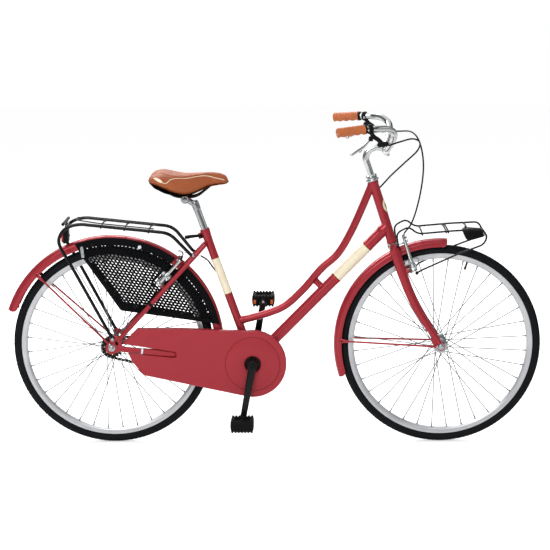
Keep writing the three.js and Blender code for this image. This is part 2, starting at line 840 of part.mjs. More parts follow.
function gripLine(side) {
  const end = point(gripEndX, side * gripEndSide, gripEndZ);
  const front = point(gripFrontX, side * gripFrontSide, gripFrontZ);
  return { end, front, direction: front.clone().sub(end).normalize() };
}

// A grip with four finger hollows along its underside.
function grip(side) {
  const { end, direction } = gripLine(side);
  const out = left.clone().multiplyScalar(side);
  const up = direction.clone().cross(out).multiplyScalar(side).negate().normalize();
  const across = up.clone().cross(direction).normalize();
  const hollows = 4;
  const sections = hollows * 2;
  const sides = 10;
  const rings = [];
  for (let s = 0; s <= sections; s += 1) {
    const share = s / sections;
    const centre = end.clone().addScaledVector(direction, gripLength * share - gripRadius / 2);
    const endTaper = s === 0 ? 0.8 : 1;
    const wave = 0.12 * (1 - Math.cos(share * hollows * 2 * Math.PI)) / 2;
    const ring = [];
    for (let i = 0; i < sides; i += 1) {
      const angle = (i / sides) * 2 * Math.PI;
      const under = Math.max(0, -Math.sin(angle));
      const radius = gripRadius * endTaper * (1 - wave * under);
      ring.push(centre.clone().addScaledVector(across, radius * Math.cos(angle))
        .addScaledVector(up, radius * Math.sin(angle)));
    }
    rings.push(ring);
  }
  return cut(loft(rings), barSolid(gap));
}

function perchPlace(side) {
  const { front } = gripLine(side);
  const x = perchX;
  const y = side * (gripFrontSide + 1);
  return { clamp: point(x, side * (gripFrontSide - 5), front.z), pivot: point(x, y, front.z - perchDrop) };
}

function brakePerch(side) {
  const { clamp, pivot } = perchPlace(side);
  const { direction } = gripLine(side);
  const half = armWidth / 2 - gap;
  const ring = rod(
    clamp.clone().addScaledVector(direction, -half), clamp.clone().addScaledVector(direction, half), barRadius + clampWall, 10,
  );
  const shoulder = pivot.clone().add(point(leverRadius, 0, leverRadius * 3));
  const neck = rod(clamp.clone().lerp(pivot, 0.35), pivot.clone().add(point(0, 0, -leverRadius)), leverRadius * 2.2, 8);
  const nose = pivot.clone().add(point(perchReach, -side * leverRadius * 3, -leverRadius * 3));
  const body = rod(shoulder, nose, leverRadius * 2, 8, leverRadius * 1.5);
  const room = rod(
    pivot.clone().add(point(0, -leverRoom, 0)), pivot.clone().add(point(0, leverRoom, 0)), leverRadius * 2.5, 10,
  );
  const pin = rod(
    pivot.clone().add(point(0, -leverRadius * 2, 0)), pivot.clone().add(point(0, leverRadius * 2, 0)), leverRadius / 2, 8,
  );
  return join(cut(join(ring, neck, body), room, barSolid(gap)), pin);
}

function leverTip(side) {
  const { pivot } = perchPlace(side);
  const { direction } = gripLine(side);
  const back = direction.clone().setZ(0).normalize().negate();
  return pivot.clone().addScaledVector(back, leverLength * Math.cos(leverDrop))
    .add(point(0, 0, -leverLength * Math.sin(leverDrop)));
}

function brakeLever(side) {
  const { pivot } = perchPlace(side);
  const tip = leverTip(side);
  const knee = pivot.clone().lerp(tip, 0.35).add(point(0, 0, -leverRadius * 1.5));
  const blade = tube(smooth([pivot.clone(), knee, tip], 5), leverRadius, 8);
  const ball = solid(new THREE.SphereGeometry(leverRadius * 1.5, 8, 5).translate(tip.x, tip.y, tip.z));
  const eye = rod(
    pivot.clone().add(point(0, -leverEye, 0)), pivot.clone().add(point(0, leverEye, 0)), leverRadius * 1.3, 10,
  );
  const hole = rod(
    pivot.clone().add(point(0, -overrun, 0)), pivot.clone().add(point(0, overrun, 0)), leverRadius / 2 + gap, 8,
  );
  return cut(join(blade, ball, eye), hole);
}

// A brake arm: an eye on the boss, a pad facing the rim and a cable end on top.
function brakeArm(place, side, padAbove) {
  const bossAt = (out) => place(0, out, side * bossSide);
  const eye = rod(bossAt(bossReach), bossAt(bossReach + armThickness), bossHeadRadius, 10);
  const middle = bossReach + armThickness / 2;
  const top = place(armLength, middle, side * armTopSide);
  const mid = place(armLength * 0.45, middle, side * (bossSide - armWidth / 6));
  const bar = tube([bossAt(middle), mid, top], armWidth / 2, 8);
  const swing = (padAbove + padHeight / 2) * Math.sin(brakeSwingDegrees * deg);
  const padInner = rimWidth / 2 + swing + gap;
  const padMiddle = place(padAbove, middle, side * (padInner + padThickness / 2));
  const along = place(0, 1, 0).sub(place(0, 0, 0));
  const pad = block(padMiddle, along, padLength, left, padThickness, padHeight);
  const post = rod(padMiddle, place(padAbove, middle, side * bossSide), bossRadius / 2, 6);
  const hole = rod(bossAt(0), bossAt(middle * 2), bossRadius + gap + gap, 10);
  return cut(join(eye, bar, pad, post), hole);
}

// Fenders: a channel bent round the wheel, its side walls reaching over the tyre.
function fender(axlePoint, radius, depth, startAngle, endAngle) {
  const crown = [[0, 0], [0.6, 0.1], [0.96, 0.42], [1, 1]];
  const outer = crown.map(([w, d]) => [radius - depth * d, fenderHalf * w]);
  const inner = crown.map(([w, d]) => [
    radius - fenderWall - (depth - fenderWall) * d, (fenderHalf - fenderWall) * w,
  ]);
  const mirror = (list) => list.map(([r, w]) => [r, -w]);
  const over = [...outer.slice().reverse(), ...mirror(outer.slice(1))];
  const under = [...mirror(inner.slice(1)).reverse(), ...inner];
  const section = [...over, ...under];
  const steps = Math.round((endAngle - startAngle) / fenderStep);
  const rings = [];
  for (let s = 0; s <= steps; s += 1) {
    const angle = (startAngle + (endAngle - startAngle) * (s / steps)) * deg;
    rings.push(section.map(([r, w]) => axlePoint.clone().add(point(r * Math.cos(angle), w, r * Math.sin(angle)))));
  }
  return channel(rings);
}

// Rings of a hollow section joined along their length, each end closed between the two walls.
function channel(rings) {
  const count = rings[0].length;
  const corners = rings.flat();
  const faces = [];
  for (let r = 0; r < rings.length - 1; r += 1) {
    for (let i = 0; i < count; i += 1) {
      const a = r * count + i;
      const b = r * count + ((i + 1) % count);
      faces.push(a, b, b + count, a, b + count, a + count);
    }
  }
  const last = (rings.length - 1) * count;
  for (let i = 0; i < count / 2 - 1; i += 1) {
    const [a, b, c, d] = [i, i + 1, count - 2 - i, count - 1 - i];
    faces.push(b, a, d, b, d, c);
    faces.push(last + a, last + b, last + c, last + a, last + c, last + d);
  }
  const geometry = new THREE.BufferGeometry();
  geometry.setAttribute('position', new THREE.Float32BufferAttribute(corners.flatMap((p) => p.toArray()), 3));
  geometry.setIndex(faces);
  return solid(geometry);
}

// A stay wire runs from one dropout up, across under the fender and down to the other.
function stayCrossing(axlePoint, radius, angle) {
  const reach = radius - stayUnderFender;
  return axlePoint.clone().add(point(reach * Math.cos(angle * deg), 0, reach * Math.sin(angle * deg)));
}
function fenderStay(crossing, foot, extra = 0) {
  const half = fenderHalf + stayWireRadius * 2;
  const at = (p, side) => p.clone().setY(side);
  const corners = [at(foot, -foot.y), at(crossing, -half), at(crossing, half), foot];
  return tube(rounded(corners, stayWireRadius * 2, 2), stayWireRadius + extra, 8);
}
const frontCrossing = stayCrossing(frontAxle, frontFenderRadius, frontStayAngle);
const rearCrossing = stayCrossing(rearAxle, rearFenderRadius, rearStayAngle);
const frontStayFoot = point(
  wheelbase - dropoutRadius * 0.85, frontDropoutInner + dropoutThickness + stayWireRadius + gap, wheelRadius,
);
const rearStayFoot = point(
  -dropoutRadius * 0.4, rearDropoutInner + dropoutThickness + stayWireRadius + gap, wheelRadius + dropoutRadius * 0.8,
);

// Chain and toothed wheels
function pitchRadius(teeth) {
  return chainPitch / (2 * Math.sin(Math.PI / teeth));
}
const ringPitch = pitchRadius(chainwheelTeeth);
const sprocketPitch = pitchRadius(sprocketTeeth);

// The loop around both toothed wheels at a distance outside their pitch circles.
function chainLoop(offset) {
  const big = ringPitch + offset;
  const small = sprocketPitch + offset;
  const span = rearAxle.clone().sub(bottomBracket);
  const heading = Math.atan2(span.z, span.x);
  const lean = Math.acos((big - small) / Math.hypot(span.x, span.z));
  const loop = [];
  const arc = (cx, cz, radius, from, to, steps) => {
    for (let i = 0; i <= steps; i += 1) {
      const angle = from + (to - from) * (i / steps);
      loop.push([cx + radius * Math.cos(angle), cz + radius * Math.sin(angle)]);
    }
  };
  const turn = 2 * Math.PI;
  arc(bottomBracketX, bottomBracketZ, big, heading + lean, heading + turn - lean, 18);
  arc(0, wheelRadius, small, heading - lean, heading + lean, 8);
  return loop;
}

function toShape(outline) {
  return new THREE.Shape(outline.map(([x, z]) => new THREE.Vector2(x, z)));
}

function chain() {
  const shape = toShape(chainLoop(chainPlateHeight / 2));
  shape.holes.push(toShape(chainLoop(-chainPlateHeight / 2)));
  return plate(shape, -chainLine - chainWidth / 2, -chainLine + chainWidth / 2);
}

function toothedWheel(centre, pitch, bore, bossHalf, bossRadius) {
  const outer = pitch - chainPlateHeight / 2 - gap * 2;
  const half = toothWidth / 2;
  const profile = [
    [bore, -bossHalf], [bossRadius, -bossHalf], [bossRadius, -half], [outer, -half],
    [outer, half], [bossRadius, half], [bossRadius, bossHalf], [bore, bossHalf],
  ];
  return revolve(profile, centre.clone().setY(-chainLine), left, 16);
}

function bottomBracketUnit() {
  const half = shellHalf - gap;
  const [bore, outer] = [spindleRadius + gap + gap, shellBore - gap - gap];
  return revolve([[bore, -half], [outer, -half], [outer, half], [bore, half]], bottomBracket, left, 20);
}

// Cranks stand opposite each other; the right one hangs down and a little back.
function crankTip(side, out) {
  const reach = side * crankLength;
  return bottomBracket.clone().add(point(reach * Math.sin(crankAngle), side * out, reach * Math.cos(crankAngle)));
}

function crank(side) {
  const at = (y) => bottomBracket.clone().setY(side * y);
  const outer = crankInner + crankThickness;
  const boss = rod(at(crankInner), at(outer + gap * 5), crankHubRadius, 14);
  const tip = rod(crankTip(side, pedalInner - crankThickness), crankTip(side, pedalInner), crankTipRadius, 12);
  const along = crankTip(side, 0).sub(bottomBracket).normalize();
  const across = left.clone().cross(along);
  const ring = (centre, width) => [[-1, -1], [1, -1], [1, 1], [-1, 1]].map(([u, v]) => (
    centre.clone().addScaledVector(across, (u * width) / 2).addScaledVector(left, v * crankBarHalf)
  ));
  const bar = loft([
    ring(at(outer - crankBarHalf), crankWidth), ring(crankTip(side, pedalInner - crankThickness / 2), crankTipRadius * 1.5),
  ]);
  const bore = rod(at(0), at(outer + overrun), spindleRadius + gap + gap, 12);
  const eye = rod(crankTip(side, 0), crankTip(side, pedalInner + overrun), pedalSpindleRadius + gap * 2, 10);
  return cut(join(boss, tip, bar), bore, eye);
}

// A platform pedal with four windows round its spindle barrel.
function pedal(side) {
  const inner = pedalInner + gap * 4;
  const centre = crankTip(side, inner + pedalWidth / 2);
  const body = block(centre, point(1, 0, 0), pedalLength, left, pedalWidth, pedalHeight);
  const windowLength = (pedalLength - pedalBarrel * 2) / 2 - pedalRail;
  const windowWidth = (pedalWidth - pedalRail * 3) / 2;
  const windows = [-1, 1].flatMap((u) => [-1, 1].map((v) => block(
    centre.clone().add(point(
      u * (pedalBarrel + windowLength / 2), v * (pedalRail / 2 + windowWidth / 2), 0,
    )), point(1, 0, 0), windowLength, left, windowWidth, pedalHeight * 2,
  )));
  const spindle = rod(crankTip(side, pedalInner - crankThickness + gap), crankTip(side, inner + overrun), pedalSpindleRadius, 8);
  return join(cut(body, ...windows), spindle);
}

// Chain case, following the chain from wheel to wheel
const caseOutline = [
  [464, 404], [238.5, 414], [88, 414.5], [36.3, 361.3], [212, 332.8], [213.9, 311], [54.7, 329],
  [68.6, 298.8], [105.5, 251.4], [445.4, 177.6],
];
function caseShape(inset) {
  const round = [];
  for (let angle = -100; angle < 100; angle += 12.5) {
    round.push([
      bottomBracketX + caseRadius * Math.cos(angle * deg), bottomBracketZ + caseRadius * Math.sin(angle * deg),
    ]);
  }
  const outline = [...caseOutline, ...round];
  if (!inset) return outline;
  return outline.map((corner, i) => {
    const before = outline[(i + outline.length - 1) % outline.length];
    const after = outline[(i + 1) % outline.length];
    const normal = (a, b) => new THREE.Vector2(a[1] - b[1], b[0] - a[0]).normalize();
    const [n1, n2] = [normal(before, corner), normal(corner, after)];
    const middle = n1.clone().add(n2);
    middle.multiplyScalar(inset / (1 + n1.dot(n2)));
    return [corner[0] + middle.x, corner[1] + middle.y];
  });
}

function chainCase() {
  const shell = plate(caseShape(0), -caseOuter, -caseInner);
  const hollow = plate(caseShape(caseWall), -caseOuter + caseWall, -caseInner + overrun);
  const mouth = plate([[0, 278], [100, 278], [100, 404], [0, 404]], -caseOuter + caseWall, -caseInner + overrun);
  const at = (y) => bottomBracket.clone().setY(-y);
  const disc = rod(at(caseOuter - caseWall), at(caseOuter + caseDiscHeight), caseDiscRadius, 24);
  const hole = rod(at(caseInner - overrun), at(caseOuter + overrun), caseHole, 20);
  const [from, to] = chainstayPath(-1);
  const stayRoom = rod(from, to, chainstayRadius + gap * 2, 12);
  return cut(join(cut(shell, hollow, mouth), disc), hole, stayRoom);
}

function chainCaseBack() {
  const outer = caseInner - gap;
  const panel = plate(caseShape(gap), -outer, -outer + caseBackWall);
  const at = (y) => bottomBracket.clone().setY(-y);
  const hole = rod(at(0), at(caseOuter), shellRadius + gap, 20);
  const line = (share) => bottomBracket.clone().lerp(rearAxle, share).setY(-outer);
  const slot = block(line(0.27), rearAxle.clone().sub(bottomBracket), bottomBracketX * 0.6, left, overrun, chainstayRadius * 2 + gap * 8);
  return cut(panel, hole, slot);
}

// Seat post, clamp, rails and saddle
function seatPost() {
  const foot = onSeatTube(seatTubeTopZ - postDepth);
  const shoulder = foot.distanceTo(onSeatTube(postTopZ - postCrimp));
  const head = foot.distanceTo(onSeatTube(postTopZ));
  const profile = [[0, 0], [postRadius, 0], [postRadius, shoulder], [postHeadRadius, shoulder], [postHeadRadius, head], [0, head]];
  return revolve(profile, foot, seatUp, 16);
}

const clampCentre = point(clampX, 0, clampZ);
function saddleRails(extra = 0) {
  const half = (side) => [
    point(saddleRear + 45, side * railSide * 2, saddleZ - 2), point(clampX - 34, side * railSide, clampZ + railRise),
    point(clampX + 40, side * railSide, clampZ + railRise), point(saddleNose - 54, side * railSide * 0.5, saddleZ + 6),
  ];
  const nose = point(saddleNose - 32, 0, saddleZ + 10);
  return tube(rounded([...half(-1), nose, ...half(1).reverse()], 20, 2), railRadius + extra, 6);
}

function saddleClamp() {
  const head = rod(clampCentre.clone().setY(-clampWidth / 2 - railRadius), clampCentre.clone().setY(clampWidth / 2 + railRadius), clampRadius, 14);
  const postHead = onSeatTube(postTopZ - clampRadius);
  const sleeve = rod(onSeatTube(postTopZ - postCrimp + gap), onSeatTube(postTopZ + 2), postHeadRadius + 5, 14);
  const arm = rod(clampCentre, postHead, clampRadius * 0.75, 10);
  const bore = rod(onSeatTube(postTopZ - postCrimp - overrun), onSeatTube(postTopZ + overrun), postHeadRadius + gap + gap, 14);
  return cut(join(head, cut(join(sleeve, arm), bore)), saddleRails(gap), bore);
}

// Sections of the saddle: distance forward, half width, underside and top.
const saddleSections = [
  [0, 62, 918, 934], [12, 92, 908, 949], [40, 105, 893, 959], [85, 101, 885, 958], [125, 84, 884, 951],
  [165, 54, 893, 949], [205, 34, 904, 948], [240, 27, 908, 946], [262, 20, 910, 938], [271, 10, 915, 926],
];
function saddleRing([forward, half, low, high], shrink) {
  const middle = low + (high - low) * 0.45;
  const shape = [
    [1, middle], [0.93, middle + (high - middle) * 0.6], [0.55, high - (high - middle) * 0.1], [0, high],
    [-0.55, high - (high - middle) * 0.1], [-0.93, middle + (high - middle) * 0.6], [-1, middle],
    [-0.94, low], [0, low], [0.94, low],
  ];
  const inner = Math.max(half - shrink, half * 0.4);
  return shape.map(([w, z]) => point(saddleRear + forward, w * inner, z));
}

function saddle() {
  const body = loft(saddleSections.map((section) => saddleRing(section, 0)));
  const inside = saddleSections.slice(1, -1).map(([x, half, low, high]) => [x, half, low - overrun, high - saddleWall]);
  const hollow = loft(inside.map((section) => saddleRing(section, saddleWall)));
  const ahead = point(1, 0, 0);
  const rearHolder = block(
    point(saddleRear + holderRear, 0, saddleZ + holderRise), ahead, holderLength, left, holderHalf * 2, holderHeight,
  );
  const noseHolder = block(
    point(saddleNose - holderNose, 0, saddleZ + holderRise), ahead, holderLength, left, holderHalf / 2, holderHeight / 1.6,
  );
  return cut(join(cut(body, hollow), rearHolder, noseHolder), saddleRails(gap));
}

function seatLever() {
  const pivot = onSeatTube(seatTubeTopZ - collarDrop).add(point(-seatTubeRadius - collarHeight / 3, -collarHeight / 2 - 5, 0));
  const barrel = rod(pivot.clone().addScaledVector(seatUp, -6), pivot.clone().addScaledVector(seatUp, 6), 4.4, 10);
  const end = pivot.clone().add(point(-seatLeverLength, -8, -4));
  const blade = tube(smooth([pivot, pivot.clone().lerp(end, 0.5).add(point(0, -4, 2)), end], 5), 4, 8);
  return join(barrel, blade);
}

// Rear carrier: one bent tube each side with wires across
function rackTop(x) {
  const slope = (rackCornerZ - rackFrontZ) / (rackFrontX - rackCornerX);
  return rackFrontZ + (rackFrontX - x) * slope;
}
function rearRack() {
  const rail = (side) => {
    const at = (x, y, z) => point(x, side * y, z);
    const [front, rear] = [at(rackFrontX, rackHalf, rackFrontZ), at(rackCornerX, rackHalf, rackCornerZ)];
    const middle = front.clone().lerp(rear, 0.5);
    const frontPart = rounded([at(rackHoldX, rackHoldSide, rackHoldZ), front, middle], rackFrontBend, 3);
    const rearPart = rounded([middle, rear, at(rackFootX, rackFootSide, rackFootZ)], rackRearBend, 5);
    return tube([...frontPart, ...rearPart.slice(1)], rackTubeRadius, 7);
  };
  const across = (x, radius, drop = 0) => rod(
    point(x, -rackHalf, rackTop(x) - drop), point(x, rackHalf, rackTop(x) - drop), radius, 6,
  );
  const wires = rackWires.map((x) => across(x, rackWireRadius));
  const cross = across(tailX, rackTubeRadius, tailCrossDrop);
  const bracket = plate([
    [tailX - 2, tailZ], [tailX + 2, tailZ], [tailX + 2, rackTop(tailX) - tailCrossDrop],
    [tailX - 2, rackTop(tailX) - tailCrossDrop],
  ], -tailHalf / 2, tailHalf / 2);
  const housing = tailShell(gap);
  return join(rail(-1), rail(1), ...wires, cut(join(cross, bracket), housing));
}

function tailShell(extra = 0) {
  const half = tailHalf + extra;
  const [low, high] = [tailZ - tailHeight / 2 - extra, tailZ + tailHeight / 2 + extra];
  const [back, front] = [tailX - tailDepth / 2 - extra, tailX + tailDepth / 2 + extra];
  return plate([[back, low], [front - 3, low], [front, low + 6], [front, high], [back + 4, high], [back, high - 6]], -half, half);
}

function tailLens() {
  const back = tailX - tailDepth / 2 - gap;
  const [low, high] = [tailZ - tailHeight / 2 + 2, tailZ + tailHeight / 2 - 6];
  return plate([[back, low], [back, high], [back - lensDepth, high - 5], [back - lensDepth, low + 4]], -tailHalf, tailHalf);
}

// Front carrier: two side loops of wire joined by cross wires
function frontRack() {
  const side = (hand) => porteurLine.map(([x, y, z]) => point(x, hand * y, z));
  const centre = [steer(crownWireAlong, crownWireAhead, -crownHalf), steer(crownWireAlong, crownWireAhead, crownHalf)];
  const line = [...side(-1).reverse(), centre[0], centre[1], ...side(1)];
  const loop = tube(rounded(line, 14, 1), porteurWire, 5);
  const wires = porteurCross.map(([x, z]) => rod(point(x, -porteurHalf, z), point(x, porteurHalf, z), porteurWire, 5));
  const holder = plate(
    [[lampX + 8, lampZ + lampHeight / 2 - gap], [lampX + 16, lampZ + lampHeight / 2 - gap], [lampX + 16, lampTopWire], [lampX + 8, lampTopWire]],
    -5, 5,
  );
  return cut(join(loop, ...wires, holder), lampShell(gap));
}

function lampOutline(extra) {
  const top = lampZ + lampHeight / 2;
  const low = lampZ - lampHeight / 2;
  const end = lampX + lampLength;
  return [
    [lampX - extra, top - 7], [lampX + 10, top + extra], [end - 10, top - 4 + extra], [end - 2 + extra, lampZ - 8 - extra],
    [lampX + 26, low - 3 - extra], [lampX + 13, low + 3 - extra],
  ];
}
function lampShell(extra = 0) {
  const body = plate(lampOutline(extra), -lampHalf - extra, lampHalf + extra);
  const front = lampX + lampLength - lensDepth;
  const face = plate([[front - 4, lampZ + overrun], [front + overrun, lampZ + overrun], [front + overrun, lampZ - overrun], [front + 6, lampZ - overrun]],
    -lampHalf - overrun, lampHalf + overrun);
  return extra ? body : cut(body, face);
}
function lampLens() {
  const front = lampX + lampLength - lensDepth + gap;
  const face = plate([[front - 4, lampZ + overrun], [front + overrun, lampZ + overrun], [front + overrun, lampZ - overrun], [front + 6, lampZ - overrun]],
    -lampHalf - overrun, lampHalf + overrun);
  return plate(lampOutline(0), -lampHalf, lampHalf).intersect(face);
}

// Skirt guards: flat nets with slanted openings, clipped to the fender's side walls
const guardCorners = [[367, 425], [30, 474], [-95, 656], [-122, 705]];
function guardOutline() {
  const outline = [];
  for (let angle = 109; angle >= 11; angle -= 7) {
    outline.push([guardOuter * Math.cos(angle * deg), wheelRadius + guardOuter * Math.sin(angle * deg)]);
  }
  return [...outline, ...guardCorners];
}

function inside(outline, x, z, margin) {
  let odd = false;
  let near = Infinity;
  outline.forEach(([x1, z1], i) => {
    const [x2, z2] = outline[(i + 1) % outline.length];
    if ((z1 > z) !== (z2 > z) && x < ((x2 - x1) * (z - z1)) / (z2 - z1) + x1) odd = !odd;
    const [dx, dz] = [x2 - x1, z2 - z1];
    const share = Math.min(1, Math.max(0, ((x - x1) * dx + (z - z1) * dz) / (dx * dx + dz * dz)));
    near = Math.min(near, Math.hypot(x - x1 - share * dx, z - z1 - share * dz));
  });
  return odd && near > margin;
}

function brakeNotch() {
  const low = rearBrakePlace(-notchMargin, bossReach + armThickness / 2, 0);
  const high = rearBrakePlace(armLength + notchMargin, bossReach + armThickness / 2, 0);
  const acrossStay = left.clone().cross(high.clone().sub(low)).normalize().multiplyScalar(notchHalf);
  const corners = [low.clone().add(acrossStay), high.clone().add(acrossStay), high.clone().sub(acrossStay), low.clone().sub(acrossStay)];
  return corners.map((p) => [p.x, p.z]);
}

function skirtGuard(side) {
  const outline = guardOutline();
  const notch = brakeNotch();
  const openings = [];
  const rows = Math.ceil(guardOuter / guardPitchWide);
  for (let row = 0; row < rows; row += 1) {
    const z = guardLow + row * guardPitchWide;
    const shift = (row % 2) * (guardPitchLong / 2) + row * guardSlant;
    for (let column = -rows; column < rows; column += 1) {
      const x = column * guardPitchLong + (shift % guardPitchLong);
      const clear = inside(outline, x, z, guardRim + guardHoleLong / 2)
        && !inside(notch, x, z, 0) && distanceTo(notch, x, z) > guardHoleLong;
      if (clear) {
        const [u, v] = [guardHoleLong / 2, guardHoleWide / 2];
        openings.push(toShape([[x - u, z - v * 0.2], [x + u * 0.2, z - v], [x + u, z + v * 0.2], [x - u * 0.2, z + v]]));
      }
    }
  }
  const y = side * guardSide;
  const sheet = plate(outline, y - guardThickness / 2, y + guardThickness / 2);
  const holes = plate(openings, y - guardThickness, y + guardThickness);
  const slot = plate(notch, y - guardThickness, y + guardThickness);
  const clips = [100, 74, 20].map((angle) => {
    const at = (w) => rearAxle.clone().add(point(
      guardClipRadius * Math.cos(angle * deg), side * w, guardClipRadius * Math.sin(angle * deg),
    ));
    return rod(at(fenderHalf + gap), at(guardSide), guardClip, 6);
  });
  return join(cut(sheet, holes, slot), ...clips);
}

function distanceTo(outline, x, z) {
  return outline.reduce((near, [x1, z1], i) => {
    const [x2, z2] = outline[(i + 1) % outline.length];
    const [dx, dz] = [x2 - x1, z2 - z1];
    const share = Math.min(1, Math.max(0, ((x - x1) * dx + (z - z1) * dz) / (dx * dx + dz * dz)));
    return Math.min(near, Math.hypot(x - x1 - share * dx, z - z1 - share * dz));
  }, Infinity);
}

// Brake cables
function rearCable() {
  const outer = tube(smooth(rearCableRoute.map(([x, y, z]) => point(x, y, z)), 22), cableRadius, 5);
  const last = rearCableRoute[rearCableRoute.length - 1];
  const noodle = rearNoodle.map(([along, out, side]) => rearBrakePlace(along, out, side));
  const wire = tube([point(...last), noodle[0]], innerWireRadius, 4);
  const across = rod(
    rearBrakePlace(armLength + wireAboveArm, armMiddle, armTopSide),
    rearBrakePlace(armLength + wireAboveArm, armMiddle, -armTopSide), innerWireRadius, 4,
  );
  return join(outer, wire, tube(smooth(noodle, 5), cableRadius, 5), across);
}
function frontCable() {
  const noodle = frontNoodle.map(([along, out, side]) => frontBrakePlace(along, out, side));
  const route = [...frontCableRoute.map(([x, y, z]) => point(x, y, z)), noodle[0]];
  const outer = tube(smooth(route, 18), cableRadius, 5);
  const pipe = tube(smooth(noodle, 4), cableRadius, 5);
  const across = rod(
    frontBrakePlace(armLength + wireAboveArm, armMiddle, -armTopSide),
    frontBrakePlace(armLength + wireAboveArm, armMiddle, armTopSide), innerWireRadius, 4,
  );
  return join(outer, pipe, across);
}

const group = new THREE.Group();
function add(name, body, material) {
  group.add(mesh(name, body, material));
}

wheelMeshes('rear', rearAxle).forEach((piece) => group.add(piece));
wheelMeshes('front', frontAxle).forEach((piece) => group.add(piece));
add('head_tube', headTube(), red);
add('seat_tube', seatTube(), red);
add('down_tube', downTube(), red);
add('top_tube', topTube(), red);
add('chainstays', chainstays(), red);
add('seatstays', seatstays(), red);
add('headset_lower', headsetCup(false), chrome);
add('headset_upper', headsetCup(true), chrome);
add('headset_locknut', headsetNut(), chrome);
add('fork', fork(), red);
add('stem', stem(), chrome);
add('handlebar', barSolid(), chrome);
for (const [side, hand] of [[-1, 'right'], [1, 'left']]) {
  add(`grip_${hand}`, grip(side), tan);
  add(`brake_perch_${hand}`, brakePerch(side), black);
  add(`brake_lever_${hand}`, brakeLever(side), silver);
  add(`front_brake_arm_${hand}`, brakeArm(frontBrakePlace, side, frontPadAbove), silver);
  add(`rear_brake_arm_${hand}`, brakeArm(rearBrakePlace, side, rearPadAbove), silver);
  add(`crank_${hand}`, crank(side), black);
  add(`pedal_${hand}`, pedal(side), black);
  add(`skirt_guard_${hand}`, skirtGuard(side), net);
}
const frontStay = fenderStay(frontCrossing, frontStayFoot);
const rearStay = fenderStay(rearCrossing, rearStayFoot);
const frontArch = fender(frontAxle, frontFenderRadius, frontFenderDepth, frontFenderStart, frontFenderEnd);
const rearArch = fender(rearAxle, rearFenderRadius, rearFenderDepth, rearFenderStart, rearFenderEnd);
add('front_fender', cut(frontArch, fenderStay(frontCrossing, frontStayFoot, gap)), red);
add('rear_fender', cut(rearArch, fenderStay(rearCrossing, rearStayFoot, gap)), red);
add('front_fender_stay', frontStay, red);
add('rear_fender_stay', rearStay, red);
add('chain', chain(), brownSteel);
add('chainwheel', toothedWheel(bottomBracket, ringPitch, spindleRadius + gap * 2, wheelBossHalf, crankHubRadius), brownSteel);
add('rear_sprocket', toothedWheel(rearAxle, sprocketPitch, freewheelSeat + gap * 2, sprocketBossHalf, sprocketBoss), brownSteel);
add('bottom_bracket_cartridge', bottomBracketUnit(), silver);
add('crank_axle', rod(bottomBracket.clone().setY(-crankAxleHalf), bottomBracket.clone().setY(crankAxleHalf), spindleRadius, 12), silver);
add('chaincase_cover', chainCase(), red);
add('chaincase_back', chainCaseBack(), black);
add('seat_post', seatPost(), chrome);
add('saddle_clamp', saddleClamp(), black);
add('saddle_rails', saddleRails(), black);
add('saddle', saddle(), tan);
add('seat_quick_release_lever', seatLever(), black);
add('rear_rack', rearRack(), black);
add('tail_light_housing', tailShell(), black);
add('tail_light_lens', tailLens(), redLens);
add('front_rack', frontRack(), black);
add('headlamp_housing', lampShell(), black);
add('headlamp_lens', lampLens(), clearLens);
add('rear_brake_cable', rearCable(), black);
add('front_brake_cable', frontCable(), black);

// The origin lies on the ground, halfway between the fender's tail and the front of the front tyre.
const tailEnd = rearFenderRadius * Math.cos(rearFenderEnd * deg);
group.position.x = -(tailEnd + wheelbase + wheelRadius) / 2;

export default group;
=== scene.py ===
import math

import bmesh
import bpy
import numpy as np
from bpy.props import FloatProperty, FloatVectorProperty, IntProperty, PointerProperty
from mathutils import Matrix, Vector
from mathutils.bvhtree import BVHTree
from mathutils.geometry import delaunay_2d_cdt


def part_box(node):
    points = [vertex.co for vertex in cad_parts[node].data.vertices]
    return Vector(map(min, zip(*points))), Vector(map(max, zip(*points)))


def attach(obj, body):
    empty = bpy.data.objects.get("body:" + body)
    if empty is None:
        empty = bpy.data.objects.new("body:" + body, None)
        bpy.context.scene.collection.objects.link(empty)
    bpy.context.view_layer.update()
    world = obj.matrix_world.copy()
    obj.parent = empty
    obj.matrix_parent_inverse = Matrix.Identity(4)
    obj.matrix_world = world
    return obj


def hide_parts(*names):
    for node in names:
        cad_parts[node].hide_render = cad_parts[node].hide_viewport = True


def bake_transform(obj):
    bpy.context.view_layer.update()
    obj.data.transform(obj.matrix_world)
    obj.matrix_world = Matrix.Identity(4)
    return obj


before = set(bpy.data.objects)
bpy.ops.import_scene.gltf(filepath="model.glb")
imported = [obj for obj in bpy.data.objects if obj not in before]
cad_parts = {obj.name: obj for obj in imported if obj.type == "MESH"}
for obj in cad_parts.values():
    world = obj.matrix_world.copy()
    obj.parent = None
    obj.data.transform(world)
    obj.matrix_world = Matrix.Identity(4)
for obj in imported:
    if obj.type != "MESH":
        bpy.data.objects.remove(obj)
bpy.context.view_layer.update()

bl_info = {
    "name": "City bicycle",
    "version": (1, 0, 0),
    "blender": (4, 5, 0),
    "location": "3D View > Sidebar > Bicycle",
    "description": "Dresses the packed bicycle with its finished tubes, wheels, saddle, carriers and fittings",
    "category": "Add Mesh",
}

